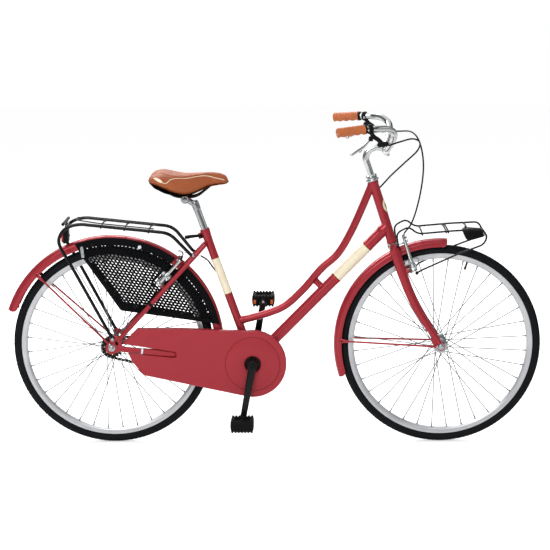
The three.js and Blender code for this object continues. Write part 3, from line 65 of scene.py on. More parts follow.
# Lengths are millimetres forward from the rear axle, to the rider's left and up from the ground.
WHEEL_RADIUS = 348.0
FRONT_X = 1137.0
_low, _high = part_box("front_rim")
SHIFT = np.array([(_low.x + _high.x) * 500 - FRONT_X, 0, 0])
REAR = np.array([0, 0, WHEEL_RADIUS])
FRONT = np.array([FRONT_X, 0, WHEEL_RADIUS])
BRACKET = np.array([486, 0, 288.5])
LEFT = np.array([0.0, 1, 0])
TURN = 2 * math.pi
HANDS = ((-1, "right"), (1, "left"))
HEAD = math.radians(72.45)
STEER_UP = np.array([-math.cos(HEAD), 0, math.sin(HEAD)])
STEER_AHEAD = np.array([math.sin(HEAD), 0, math.cos(HEAD)])
STEER_FOOT = FRONT - 52.6 * STEER_AHEAD
SEAT_TOP = np.array([322, 0, 754])
SEAT_UP = (SEAT_TOP - BRACKET) / np.linalg.norm(SEAT_TOP - BRACKET)


def on_seat(z):
    """A place on the seat tube's axis at a height."""
    return BRACKET + SEAT_UP * (z - BRACKET[2]) / SEAT_UP[2]


# The seat stays' middle line, its direction upwards and the one behind it.
STAY_TOP = on_seat(700) + [-18.59, 0, 0]
STAY_FOOT = np.array([24, 0, 377])
STAY_LENGTH = np.linalg.norm(STAY_TOP - STAY_FOOT)
STAY_WAY = (STAY_TOP - STAY_FOOT) / STAY_LENGTH
STAY_OUT = np.array([-STAY_WAY[2], 0, STAY_WAY[0]])


def steer(along, ahead=0.0, side=0.0):
    """A place given along the steering axis, ahead of it and to its left."""
    return STEER_FOOT + STEER_UP * along + STEER_AHEAD * ahead + LEFT * side


def on_stay(along, out, side):
    """A place on the rear brake, along the seat stays from its pivots and behind them."""
    return STAY_FOOT + STAY_WAY * (STAY_LENGTH * 0.543 + along) + STAY_OUT * out + LEFT * side


# How far the front brake's arms stand ahead of the rear one's measure from their pivots.
FRONT_REACH = 16.0


def on_fork(along, out, side):
    """A place on the front brake, along the fork from its pivots and ahead of them."""
    return steer(285 + along, out, side)


def unit(v):
    v = np.asarray(v, float)
    return v / np.maximum(np.linalg.norm(v, axis=-1, keepdims=True), 1e-12)


def ray_at(degrees):
    """The direction in the wheels' plane at an angle up from forward: its cosine forward and its sine up."""
    turn = math.radians(degrees)
    return np.array([math.cos(turn), 0, math.sin(turn)])


def softened(value, power):
    """A sine or cosine raised to a power with its sign kept, which squares a circle below one."""
    return np.sign(value) * np.abs(value) ** power


def upright(loop, y):
    """A flat loop, forward and up, stood at a distance to the left."""
    return np.stack([loop[:, 0], np.full(len(loop), y), loop[:, 1]], 1)


# Paths

def spaced(line, count):
    """Points at equal distances along a line, each found between its two neighbours by its share of the length."""
    run = np.concatenate([[0], np.cumsum(np.linalg.norm(np.diff(line, axis=0), axis=1))])
    at = np.linspace(0, run[-1], count)
    return np.stack([np.interp(at, run, line[:, k]) for k in range(line.shape[1])], 1)


def straight(start, end, count):
    """Points at equal distances from one place to another."""
    return spaced(np.array([start, end]), count)


def even_loop(loop, count):
    """A closed flat loop with one less than so many points at equal distances round it."""
    return spaced(np.vstack([loop, loop[:1]]), count)[:-1]


def spline(points, count):
    """A smooth line through points: a cubic between neighbours, whose slopes at a point are the means of the chords
    there, weighted by the square roots of their lengths."""
    p = np.asarray(points, float)
    gap = np.maximum(np.linalg.norm(np.diff(p, axis=0), axis=1), 1e-9) ** 0.5
    knot = np.concatenate([[0], np.cumsum(gap)])
    chord = np.diff(p, axis=0) / gap[:, None]
    middle = (chord[:-1] * gap[1:, None] + chord[1:] * gap[:-1, None]) / (gap[1:] + gap[:-1])[:, None]
    slope = np.vstack([chord[:1], middle, chord[-1:]])
    at = np.linspace(0, knot[-1], count * 10)
    i = np.clip(np.searchsorted(knot, at, "right") - 1, 0, len(p) - 2)
    s, h = ((at - knot[i]) / gap[i])[:, None], gap[i][:, None]
    dense = (
        (2 * s**3 - 3 * s**2 + 1) * p[i] + (s**3 - 2 * s**2 + s) * h * slope[i]
        + (3 * s**2 - 2 * s**3) * p[i + 1] + (s**3 - s**2) * h * slope[i + 1]
    )
    return spaced(dense, count)


def bends(corners, bend, steps=7, count=None):
    """Straight runs joined by curves that start one bend before each corner; each curve is the quadratic of its two
    ends and the corner."""
    c = np.asarray(corners, float)
    line = [c[:1]]
    for before, corner, after, reach in zip(c[:-2], c[1:-1], c[2:], np.broadcast_to(bend, len(c) - 2)):
        size = min(reach, np.linalg.norm(before - corner) / 2.1, np.linalg.norm(after - corner) / 2.1)
        a, b = corner + unit(before - corner) * size, corner + unit(after - corner) * size
        t = np.linspace(0, 1, steps)[:, None]
        line.append((1 - t) ** 2 * a + 2 * t * (1 - t) * corner + t**2 * b)
    line.append(c[-1:])
    line = np.vstack(line)
    return line if count is None else spaced(line, count)


def ring_frames(path, side=None):
    """The direction at each point of a path and two sides square to it, the first carried along by taking off its
    share in the new direction."""
    run = unit(np.diff(path, axis=0))
    ahead = unit(np.vstack([run[:1], run[:-1] + run[1:], run[-1:]]))
    side = np.array([0, 1.0, 0]) if side is None else np.asarray(side, float)
    side = side if abs(ahead[0] @ side) < 0.9 else np.array([0, 0, 1.0])
    sides = []
    for direction in ahead:
        side = unit(side - (side @ direction) * direction)
        sides.append(side)
    return ahead, np.array(sides), np.cross(ahead, sides)


# Skins: points with faces and their places on the surface's own map

def outward(points, faces):
    """Turns all faces round where the volume that they enclose, the sum of their corners' triple products, is below
    zero."""
    total = 0
    for index, _ in faces:
        a = points[index[:, 0]]
        for k in range(1, index.shape[1] - 1):
            total += np.einsum("ij,ij->", a, np.cross(points[index[:, k]], points[index[:, k + 1]]))
    if total < 0:
        faces = [(index[:, ::-1], uv[:, ::-1]) for index, uv in faces]
    return points, faces


def skin(grid, around=True, along=False, capped=True):
    """The faces of a grid of points, rows along a path and columns around it, with a fan from each end row to its
    mean point."""
    grid = np.asarray(grid, float)
    rows, columns = grid.shape[:2]
    index = np.arange(rows * columns).reshape(rows, columns)
    index = np.vstack([index, index[:1]]) if along else index
    index = np.hstack([index, index[:, :1]]) if around else index
    v, u = np.meshgrid(np.linspace(0, 1, index.shape[0]), np.linspace(0, 1, index.shape[1]), indexing="ij")

    def pick(a):
        return np.stack([a[:-1, :-1], a[:-1, 1:], a[1:, 1:], a[1:, :-1]], 2).reshape(-1, 4, *a.shape[2:])

    uv = np.stack([u, v], -1)
    faces = [(pick(index), pick(uv))]
    points = grid.reshape(-1, 3)
    if capped and not along:
        hub = len(points)
        points = np.vstack([points, grid[0].mean(0), grid[-1].mean(0)])
        for ring, ring_uv, middle, flip in ((index[0], uv[0], hub, True), (index[-1], uv[-1], hub + 1, False)):
            a, b = (ring[1:], ring[:-1]) if flip else (ring[:-1], ring[1:])
            ua, ub = (ring_uv[1:], ring_uv[:-1]) if flip else (ring_uv[:-1], ring_uv[1:])
            fan = np.stack([np.full(len(a), middle), a, b], 1)
            faces.append((fan, np.stack([(ua + ub) / 2, ua, ub], 1)))
    return outward(points, faces)


def merge(*skins):
    """Several skins as one, the faces' numbers moved on by the points before them."""
    points, faces, start = [], [], 0
    for p, f in skins:
        points.append(p)
        faces += [(index + start, uv) for index, uv in f]
        start += len(p)
    return np.vstack(points), faces


def scatter(part, places, x, y, z):
    """A copy of a skin at each place, its own three axes laid along the given ones."""
    points, faces = part
    places = np.atleast_2d(places)
    x, y, z = (np.broadcast_to(np.atleast_2d(a), places.shape) for a in (x, y, z))
    basis = np.stack([x, y, z], 1)
    moved = places[:, None] + np.einsum("pk,nkj->npj", points, basis)
    steps = np.arange(len(places)) * len(points)
    copied = []
    for index, uv in faces:
        many = (index[None] + steps[:, None, None]).reshape(-1, index.shape[1])
        copied.append((many, np.tile(uv, (len(places), 1, 1))))
    return moved.reshape(-1, 3), copied


def tube(path, radius, around=20, other=None, side=None, ends="flat"):
    """A pipe: at each point of the path a ring at the radius times the cosine on one side and at the other radius
    times the sine on the other. Round ends add rings that shrink as a quarter circle."""
    path = np.asarray(path, float)
    first = np.broadcast_to(np.asarray(radius, float), len(path)).copy()
    second = first if other is None else np.broadcast_to(np.asarray(other, float), len(path)).copy()
    if ends == "round":
        t = np.radians([88, 66, 44, 22])
        run = unit(np.array([path[0] - path[1], path[-1] - path[-2]]))
        size = np.minimum(first, second)
        head = path[0] + run[0] * (np.sin(t) * size[0])[:, None]
        tail = path[-1] + run[1] * (np.sin(t[::-1]) * size[-1])[:, None]
        path = np.vstack([head, path, tail])
        first = np.concatenate([first[0] * np.cos(t), first, first[-1] * np.cos(t[::-1])])
        second = np.concatenate([second[0] * np.cos(t), second, second[-1] * np.cos(t[::-1])])
    _, a, b = ring_frames(path, side)
    angle = np.arange(around) / around * TURN
    grid = (
        path[:, None] + (first[:, None] * np.cos(angle))[..., None] * a[:, None]
        + (second[:, None] * np.sin(angle))[..., None] * b[:, None])
    return skin(grid)


def lathe(profile, centre, axis, around=48, closed=False):
    """A profile of radius and height turned about an axis: each point goes round at its radius, at its height along
    the axis."""
    profile = np.asarray(profile, float)
    axis = unit(axis)
    a = unit(np.cross(axis, [0, 0, 1.0] if abs(axis[2]) < 0.9 else [1.0, 0, 0]))
    b = np.cross(axis, a)
    angle = np.arange(around) / around * TURN
    round_way = np.cos(angle)[:, None] * a + np.sin(angle)[:, None] * b
    grid = np.asarray(centre, float) + profile[:, 0, None, None] * round_way + profile[:, 1, None, None] * axis
    return skin(grid, along=closed, capped=not closed)


def rods(starts, ends, radius, around=8, tip=None):
    """Many straight rods at once, each ring a circle square to its rod, the far one at the tip's radius."""
    starts, ends = np.atleast_2d(starts).astype(float), np.atleast_2d(ends).astype(float)
    z = ends - starts
    guide = np.where(np.abs(unit(z)[:, 1:2]) > 0.9, [[0, 0, 1.0]], [[0, 1.0, 0]])
    x = unit(np.cross(guide, z))
    y = unit(np.cross(z, x))
    share = 1 if tip is None else tip / radius
    angle = np.arange(around) / around * TURN
    ring = np.stack([np.cos(angle), np.sin(angle), np.zeros(around)], 1)
    unit_rod = skin(np.stack([ring, ring * [share, share, 0] + [0, 0, 1]]))
    return scatter(unit_rod, starts, x * radius, y * radius, z)


def pebble(centre, size, x=(1, 0, 0), y=(0, 1, 0), power=0.28):
    """A rounded block: a ball whose sines and cosines are raised to a small power before they meet its three half
    sizes."""
    x, y = unit(x), unit(y)
    z = unit(np.cross(x, y))
    y = np.cross(z, x)
    high = np.linspace(-math.pi / 2, math.pi / 2, 20)[:, None]
    wide = (np.arange(40) / 40 * TURN)[None]

    half = np.asarray(size, float) / 2
    level = softened(np.cos(high), power)
    grid = (
        (level * softened(np.cos(wide), power) * half[0])[..., None] * x
        + (level * softened(np.sin(wide), power) * half[1])[..., None] * y
        + (softened(np.sin(high), power) * np.ones_like(wide) * half[2])[..., None] * z
    )
    return skin(np.asarray(centre, float) + grid)


def inside(points, loop):
    """Which flat points lie in a loop: those with an odd number of its edges across the line that runs from them."""
    x, z = points[:, :1], points[:, 1:]
    x1, z1 = loop[:, 0][None], loop[:, 1][None]
    x2, z2 = np.roll(loop, -1, 0)[:, 0][None], np.roll(loop, -1, 0)[:, 1][None]
    crosses = (z1 > z) != (z2 > z)
    with np.errstate(divide="ignore", invalid="ignore"):
        at = (x2 - x1) * (z - z1) / (z2 - z1) + x1
    return (crosses & (x < at)).sum(1) % 2 == 1


def plate(loops, low, high, kept=None):
    """A flat plate with holes: its loops triangulated, the triangles kept that lie in an odd number of loops, the
    same again at the other face, and a wall on each edge that one triangle alone uses."""
    loops = [np.asarray(loop, float) for loop in loops]
    edges, start = [], 0
    for loop in loops:
        ring = np.arange(len(loop)) + start
        edges.append(np.stack([ring, np.roll(ring, -1)], 1))
        start += len(loop)
    flat = np.vstack(loops)
    found = delaunay_2d_cdt([Vector(p) for p in flat], np.vstack(edges).tolist(), [], 0, 1e-4)
    flat = np.array([tuple(p) for p in found[0]])
    tri = np.array([f for f in found[2] if len(f) == 3])
    middle = flat[tri].mean(1)
    keep = (sum(inside(middle, loop).astype(int) for loop in loops) % 2 == 1) if kept is None else kept(middle)
    tri = tri[keep]
    a, b, c = flat[tri[:, 0]], flat[tri[:, 1]], flat[tri[:, 2]]
    area = (b - a)[:, 0] * (c - a)[:, 1] - (b - a)[:, 1] * (c - a)[:, 0]
    tri[area < 0] = tri[area < 0][:, ::-1]
    n = len(flat)
    sides = np.vstack([tri[:, [0, 1]], tri[:, [1, 2]], tri[:, [2, 0]]])
    lone = sides[~np.isin(sides[:, 1] * n + sides[:, 0], sides[:, 0] * n + sides[:, 1])]
    wall = np.stack([lone[:, 0], lone[:, 1], lone[:, 1] + n, lone[:, 0] + n], 1)
    points = np.vstack([upright(flat, low), upright(flat, high)])
    both = np.vstack([tri[:, ::-1], tri + n])
    used = np.unique(np.concatenate([both.ravel(), wall.ravel()]))
    number = np.zeros(2 * n, int)
    number[used] = np.arange(len(used))
    uv = np.vstack([flat, flat])[used] / 100
    both, wall = number[both], number[wall]
    return outward(points[used], [(both, uv[both]), (wall, uv[wall])])


def circle(x, z, radius, count=32, first=0.0, last=TURN):
    """Points round a flat circle, or an arc of it: radius times cosine forward and times sine up."""
    angle = np.linspace(first, last, count, endpoint=last - first < TURN - 1e-6)
    return np.stack([x + radius * np.cos(angle), z + radius * np.sin(angle)], 1)


def inset(loop, distance):
    """A flat loop moved inwards: each corner along the mean of its two edges' normals, over one plus their product.
    """
    loop = np.asarray(loop, float)
    before, after = loop - np.roll(loop, 1, 0), np.roll(loop, -1, 0) - loop
    first, second = unit(before[:, ::-1] * [-1, 1]), unit(after[:, ::-1] * [-1, 1])
    area = np.sum(loop[:, 0] * np.roll(loop, -1, 0)[:, 1] - loop[:, 1] * np.roll(loop, -1, 0)[:, 0])
    way = (first + second) * (distance * np.sign(area)) / np.maximum(1 + (first * second).sum(1), 0.3)[:, None]
    return loop + way


# Finishes

def linear(text):
    """The linear value of a six-figure screen colour: each share to the power that the screen's curve gives."""
    share = np.array([int(text[i:i + 2], 16) for i in (0, 2, 4)]) / 255
    return tuple(np.where(share <= 0.04045, share / 12.92, ((share + 0.055) / 1.055) ** 2.4))


FINISH = {}


def put(node, values, **settings):
    """Gives a node its settings and the values of its inputs, by name or number."""
    for name, value in settings.items():
        setattr(node, name, value)
    for name, value in values.items():
        node.inputs[name].default_value = value
    return node


def wire(tree, *joins):
    """Joins outputs to inputs, each join a node, its output, the next node and its input."""
    for source, output, target, entry in joins:
        tree.links.new(source.outputs[output], target.inputs[entry])


def finish(name, colour, roughness, metallic=0.0, coat=0.0, second=None, patch=14, amount=0.5, spread=0.06,
           grain=900, depth=0.00002, cells=False, brushed=None, transmission=0.0, shine=0.3):
    """A finish whose colour drifts to a second one with a broad noise, whose gloss varies with a fine one, and whose
    grain is that noise or a pattern of cells as a bump. Brushed, the fine noise is stretched along the surface's own
    map."""
    colour, second = (linear(c) if isinstance(c, str) else c for c in (colour, second))
    material = bpy.data.materials.new(name)
    material.use_nodes = True
    tree = material.node_tree
    new = tree.nodes.new
    shader = put(
        tree.nodes["Principled BSDF"],
        {
            "Metallic": metallic, "Coat Weight": coat, "Coat Roughness": 0.08, "Transmission Weight": transmission,
            "Specular IOR Level": shine})
    where = new("ShaderNodeTexCoord")
    broad = put(new("ShaderNodeTexNoise"), {"Scale": patch, "Detail": 5})
    share = put(new("ShaderNodeMapRange"), {"From Min": 0.38, "From Max": 0.66, "To Max": amount})
    mix = put(
        new("ShaderNodeMix"), {6: (*colour[:3], 1), 7: (*(second or tuple(c * 0.8 for c in colour[:3]))[:3], 1)},
        data_type="RGBA")
    fine = put(new("ShaderNodeTexVoronoi"), {"Scale": grain}) if cells else put(
        new("ShaderNodeTexNoise"), {"Scale": grain, "Detail": 3})
    if brushed:
        stretch = put(new("ShaderNodeMapping"), {"Scale": (*brushed, 1)})
        wire(tree, (where, "UV", stretch, "Vector"), (stretch, "Vector", fine, "Vector"))
    else:
        wire(tree, (where, "Object", fine, "Vector"))
    value = "Distance" if cells else "Fac"
    gloss = put(new("ShaderNodeMapRange"), {"To Min": max(roughness - spread, 0.02), "To Max": roughness + spread})
    bump = put(new("ShaderNodeBump"), {"Strength": 0.7, "Distance": depth})
    wire(tree, (where, "Object", broad, "Vector"), (broad, "Fac", share, "Value"), (share, "Result", mix, 0),
         (mix, 2, shader, "Base Color"), (fine, value, gloss, "Value"), (gloss, "Result", shader, "Roughness"),
         (fine, value, bump, "Height"), (bump, "Normal", shader, "Normal"))
    FINISH[name] = material


def make_finishes(paint):
    red = tuple(paint.frame_colour)
    dark = tuple(paint.fitting_colour)
    tan = tuple(paint.leather_colour)
    finish(
        "frame_enamel", red, 0.3, metallic=0.3, coat=0.12, second=tuple(c * 0.92 for c in red), grain=1400,
        depth=0.000015, shine=0.25)
    finish(
        "case_enamel", red, 0.42, coat=0.12, second=tuple(c * 0.95 for c in red), grain=1100, depth=0.00002, shine=0.2
    )
    finish("tyre_rubber", "0e1013", 0.74, second="171a1e", patch=30, grain=700, depth=0.00012, spread=0.1, shine=0.12)
    finish(
        "rim_alloy", "cbccce", 0.34, metallic=0.6, second="b5b7bb", patch=20, brushed=(2, 90), grain=14, depth=0.00001
    )
    finish("spoke_steel", "6c7276", 0.42, metallic=0.3, second="53595d", patch=60)
    finish("hub_alloy", "b4b8ba", 0.26, metallic=0.9, second="8b9093", patch=40, brushed=(2, 60), grain=12)
    finish(
        "chrome_plate", "c9cccc", 0.1, metallic=1.0, second="b4b8b8", patch=25, grain=300, depth=0.000004, spread=0.03
    )
    finish("cast_alloy", "d8dbd9", 0.2, metallic=1.0, second="b8bcbc", patch=30, grain=500, depth=0.00001)
    finish("carrier_enamel", dark, 0.28, coat=0.14, second="0e0f11", patch=30, grain=1200, depth=0.00001, shine=0.14)
    finish("moulded_black", "0a0b0c", 0.5, second="121315", patch=40, grain=1500, depth=0.00005, shine=0.12)
    finish("net_plastic", "07080a", 0.6, second="0e0f11", patch=25, grain=1300, depth=0.00004, shine=0.07)
    finish(
        "saddle_leather", tan, 0.56, second=tuple(c * 0.72 for c in tan), patch=16, amount=0.7, cells=True, grain=520,
        depth=0.00035, spread=0.1, shine=0.2)
    finish(
        "grip_leather", tuple(paint.grip_colour), 0.48, second=tuple(c * 0.7 for c in paint.grip_colour), patch=30,
        amount=0.6, cells=True, grain=900, depth=0.0002, spread=0.08)
    finish("oiled_steel", "2e251d", 0.45, metallic=0.6, second="14100d", patch=120, amount=0.8, grain=900)
    finish("bolt_steel", "b4b8bb", 0.22, metallic=0.95, second="7c8285", patch=90, grain=900)
    finish(
        "red_lens", "c8141c", 0.14, coat=0.6, second="8c0c12", patch=60, cells=True, grain=260, depth=0.0006,
        transmission=0.25)
    finish(
        "clear_lens", "dfe6ea", 0.1, coat=0.5, second="bcc6cc", patch=60, cells=True, grain=220, depth=0.0006,
        transmission=0.55)
    finish("amber_lens", "d9641c", 0.2, coat=0.4, second="a8440c", patch=80, cells=True, grain=600, depth=0.0004)
    finish("cream_film", "f0e6cc", 0.34, coat=0.3, second="e6d9b8", patch=30, grain=1500, depth=0.000008)
    finish("gold_line", "a8854a", 0.3, metallic=0.4, second="8c6c38", patch=50)
    finish("dark_line", "5a1a22", 0.35, second="471319", patch=50)
    finish("bright_line", "c9202c", 0.35, second="b01824", patch=50)
    finish("pad_rubber", "161617", 0.8, second="252525", patch=60, grain=800, depth=0.0001)
    finish("cable_sheath", "060707", 0.4, second="0c0d0e", patch=60, grain=1500, depth=0.00001, shine=0.1)
    finish("valve_rubber", "3a241c", 0.6, second="54362a", patch=90)
    finish("reflector_band", "dfe7ee", 0.2, coat=0.6, second="a9bfd2", patch=90, cells=True, grain=1400, depth=0.0001)


NODE_FINISH = {
    "frame_enamel": (
        "head_tube", "seat_tube", "down_tube", "top_tube", "chainstays", "seatstays", "fork", "front_fender",
        "rear_fender", "front_fender_stay", "rear_fender_stay"),
    "case_enamel": ("chaincase_cover",), "tyre_rubber": ("front_tyre", "rear_tyre"),
    "rim_alloy": ("front_rim", "rear_rim"),
    "hub_alloy": ("front_hub", "rear_hub", "front_axle", "rear_axle", "bottom_bracket_cartridge", "crank_axle"),
    "chrome_plate": ("headset_upper", "headset_lower", "headset_locknut", "stem", "handlebar", "seat_post"),
    "carrier_enamel": ("rear_rack", "front_rack", "saddle_rails", "crank_right", "crank_left"),
    "moulded_black": (
        "brake_perch_right", "brake_perch_left", "chaincase_back", "saddle_clamp", "seat_quick_release_lever",
        "tail_light_housing", "headlamp_housing", "pedal_right", "pedal_left"),
    "net_plastic": ("skirt_guard_right", "skirt_guard_left"), "saddle_leather": ("saddle",),
    "grip_leather": ("grip_right", "grip_left"),
    "cast_alloy": (
        "brake_lever_right", "brake_lever_left", "front_brake_arm_right", "front_brake_arm_left",
        "rear_brake_arm_right", "rear_brake_arm_left"),
    "oiled_steel": ("chain", "chainwheel", "rear_sprocket"), "red_lens": ("tail_light_lens",),
    "clear_lens": ("headlamp_lens",), "cable_sheath": ("rear_brake_cable", "front_brake_cable")}


def dress_nodes():
    """Gives each CAD node the finish of the piece that stands for it."""
    for name, members in NODE_FINISH.items():
        for node in members:
            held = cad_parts[node].data.materials
            held.clear()
            held.append(FINISH[name])


# Pieces

def piece(name, parts, body, nodes=(), sharp=38, rides=True, coat=None):
    """A mesh object of skins and their finishes, in metres in the frame's place, with doubled points joined. A skin
    without a finish of its own takes the coat."""
    points, indices, sizes, uvs, finishes, slots, start = [], [], [], [], [], [], 0
    for part in parts:
        (p, faces), kind = part if isinstance(part[1], str) else (part, coat)
        if kind not in slots:
            slots.append(kind)
        for index, uv in faces:
            indices.append((index + start).ravel())
            sizes.append(np.full(len(index), index.shape[1]))
            uvs.append(uv.reshape(-1, 2))
            finishes.append(np.full(len(index), slots.index(kind)))
        points.append(p)
        start += len(p)
    mesh = bpy.data.meshes.new(name)
    co = (np.vstack(points) + SHIFT) / 1000
    size = np.concatenate(sizes)
    mesh.vertices.add(len(co))
    mesh.vertices.foreach_set("co", co.astype(np.float32).ravel())
    mesh.loops.add(int(size.sum()))
    mesh.loops.foreach_set("vertex_index", np.concatenate(indices).astype(np.int32))
    mesh.polygons.add(len(size))
    mesh.polygons.foreach_set("loop_start", np.concatenate([[0], np.cumsum(size)[:-1]]).astype(np.int32))
    mesh.polygons.foreach_set("material_index", np.concatenate(finishes).astype(np.int32))
    layer = mesh.uv_layers.new(name="UVMap")
    mesh.update(calc_edges=True)
    layer.data.foreach_set("uv", np.vstack(uvs).astype(np.float32).ravel())
    mesh.validate()
    work = bmesh.new()
    work.from_mesh(mesh)
    bmesh.ops.remove_doubles(work, verts=work.verts, dist=2e-6)
    bmesh.ops.dissolve_degenerate(work, edges=work.edges, dist=1e-7)
    work.to_mesh(mesh)
    work.free()
    mesh.polygons.foreach_set("use_smooth", np.ones(len(mesh.polygons), bool))
    mesh.set_sharp_from_angle(angle=math.radians(sharp))
    for kind in slots:
        mesh.materials.append(FINISH[kind])
    made = bpy.data.objects.new(name, mesh)
    bpy.context.scene.collection.objects.link(made)
    if rides:
        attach(made, body)
    if nodes:
        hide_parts(*nodes)
    return made


def hex_nut(centre, axis, half, height):
    """A six-sided nut with its corners turned off: two rings of six at each face, the outer pair lower."""
    axis = unit(axis)
    a = unit(np.cross(axis, [0.3, 0.1, 1.0]))
    b = np.cross(axis, a)
    angle = np.arange(6) / 6 * TURN
    way = np.cos(angle)[:, None] * a + np.sin(angle)[:, None] * b
    levels = [(0.82, 0), (1, 0.12), (1, 0.88), (0.82, 1)]
    grid = np.stack([np.asarray(centre) + way * half * r + axis * height * h for r, h in levels])
    nut = skin(grid)
    stud = lathe(
        [(0, 0), (half * 0.5, 0), (half * 0.5, height * 1.25), (half * 0.4, height * 1.35), (0, height * 1.35)],
        centre, axis, 16)
    return merge(nut, stud)


def bolt_head(centre, axis, radius, height):
    """A domed head: a lathe whose top falls as a quarter ellipse, with a socket sunk in it."""
    t = np.linspace(0, math.pi / 2, 5)
    dome = np.stack([radius * np.cos(t) * 0.55 + radius * 0.45, height * (0.5 + 0.5 * np.sin(t))], 1)
    profile = [
        (0, 0), (radius, 0), *map(tuple, dome), (radius * 0.4, height), (radius * 0.34, height * 0.5),
        (0, height * 0.5)]
    return lathe(profile, centre, axis, 20)


class Wheel:
    """Shared numbers of both wheels, from the sizes that the user sets."""

    def __init__(self, sizes, end):
        self.centre = FRONT if end == "front" else REAR
        self.flanges = (-32, 32) if end == "front" else (-28, 34)
        self.half = 42 if end == "front" else 52
        self.lugs = sizes.tread_lugs
        self.count = sizes.spokes
        self.end = end


def tyre_skin(wheel):
    """The tyre's section is an ellipse from bead to bead, height the cosine and width the sine; grooves are sunk
    where the share of the turn, led by the distance from the crown, nears a half, and bell-shaped ribs stand on the
    wall."""
    turns = wheel.lugs * 4
    angle = np.radians(np.linspace(-128, 128, 49))[:, None]
    turn = (np.arange(turns) / turns * TURN)[None]
    lane = np.abs(np.degrees(angle))
    phase = (turn * wheel.lugs / TURN + lane / 44) % 1
    groove = np.exp(-(((phase - 0.5) / 0.17) ** 2)) * 2.1 * ((lane > 9) & (lane < 62))
    sunk = groove + 0.9 * np.exp(-((lane / 4.5) ** 2)) + 0.8 * np.exp(-(((lane - 66) / 3.5) ** 2))
    rib = 0.45 * np.exp(-(((lane - 88) / 3) ** 2)) + 0.6 * np.exp(-(((lane - 117) / 4) ** 2))
    size = 17.0 - sunk + rib
    radius = 331 + size * np.cos(angle)
    width = (size + 1) * np.sin(angle)
    seat = np.array([[316.5, 10.5], [317.5, 0], [316.5, -10.5]])
    radius = np.vstack([radius, np.broadcast_to(seat[:, :1], (3, turns))])
    width = np.vstack([width, np.broadcast_to(seat[:, 1:], (3, turns))])
    grid = wheel.centre + np.stack([radius * np.cos(turn), width, radius * np.sin(turn)], -1)
    return skin(grid, along=True)


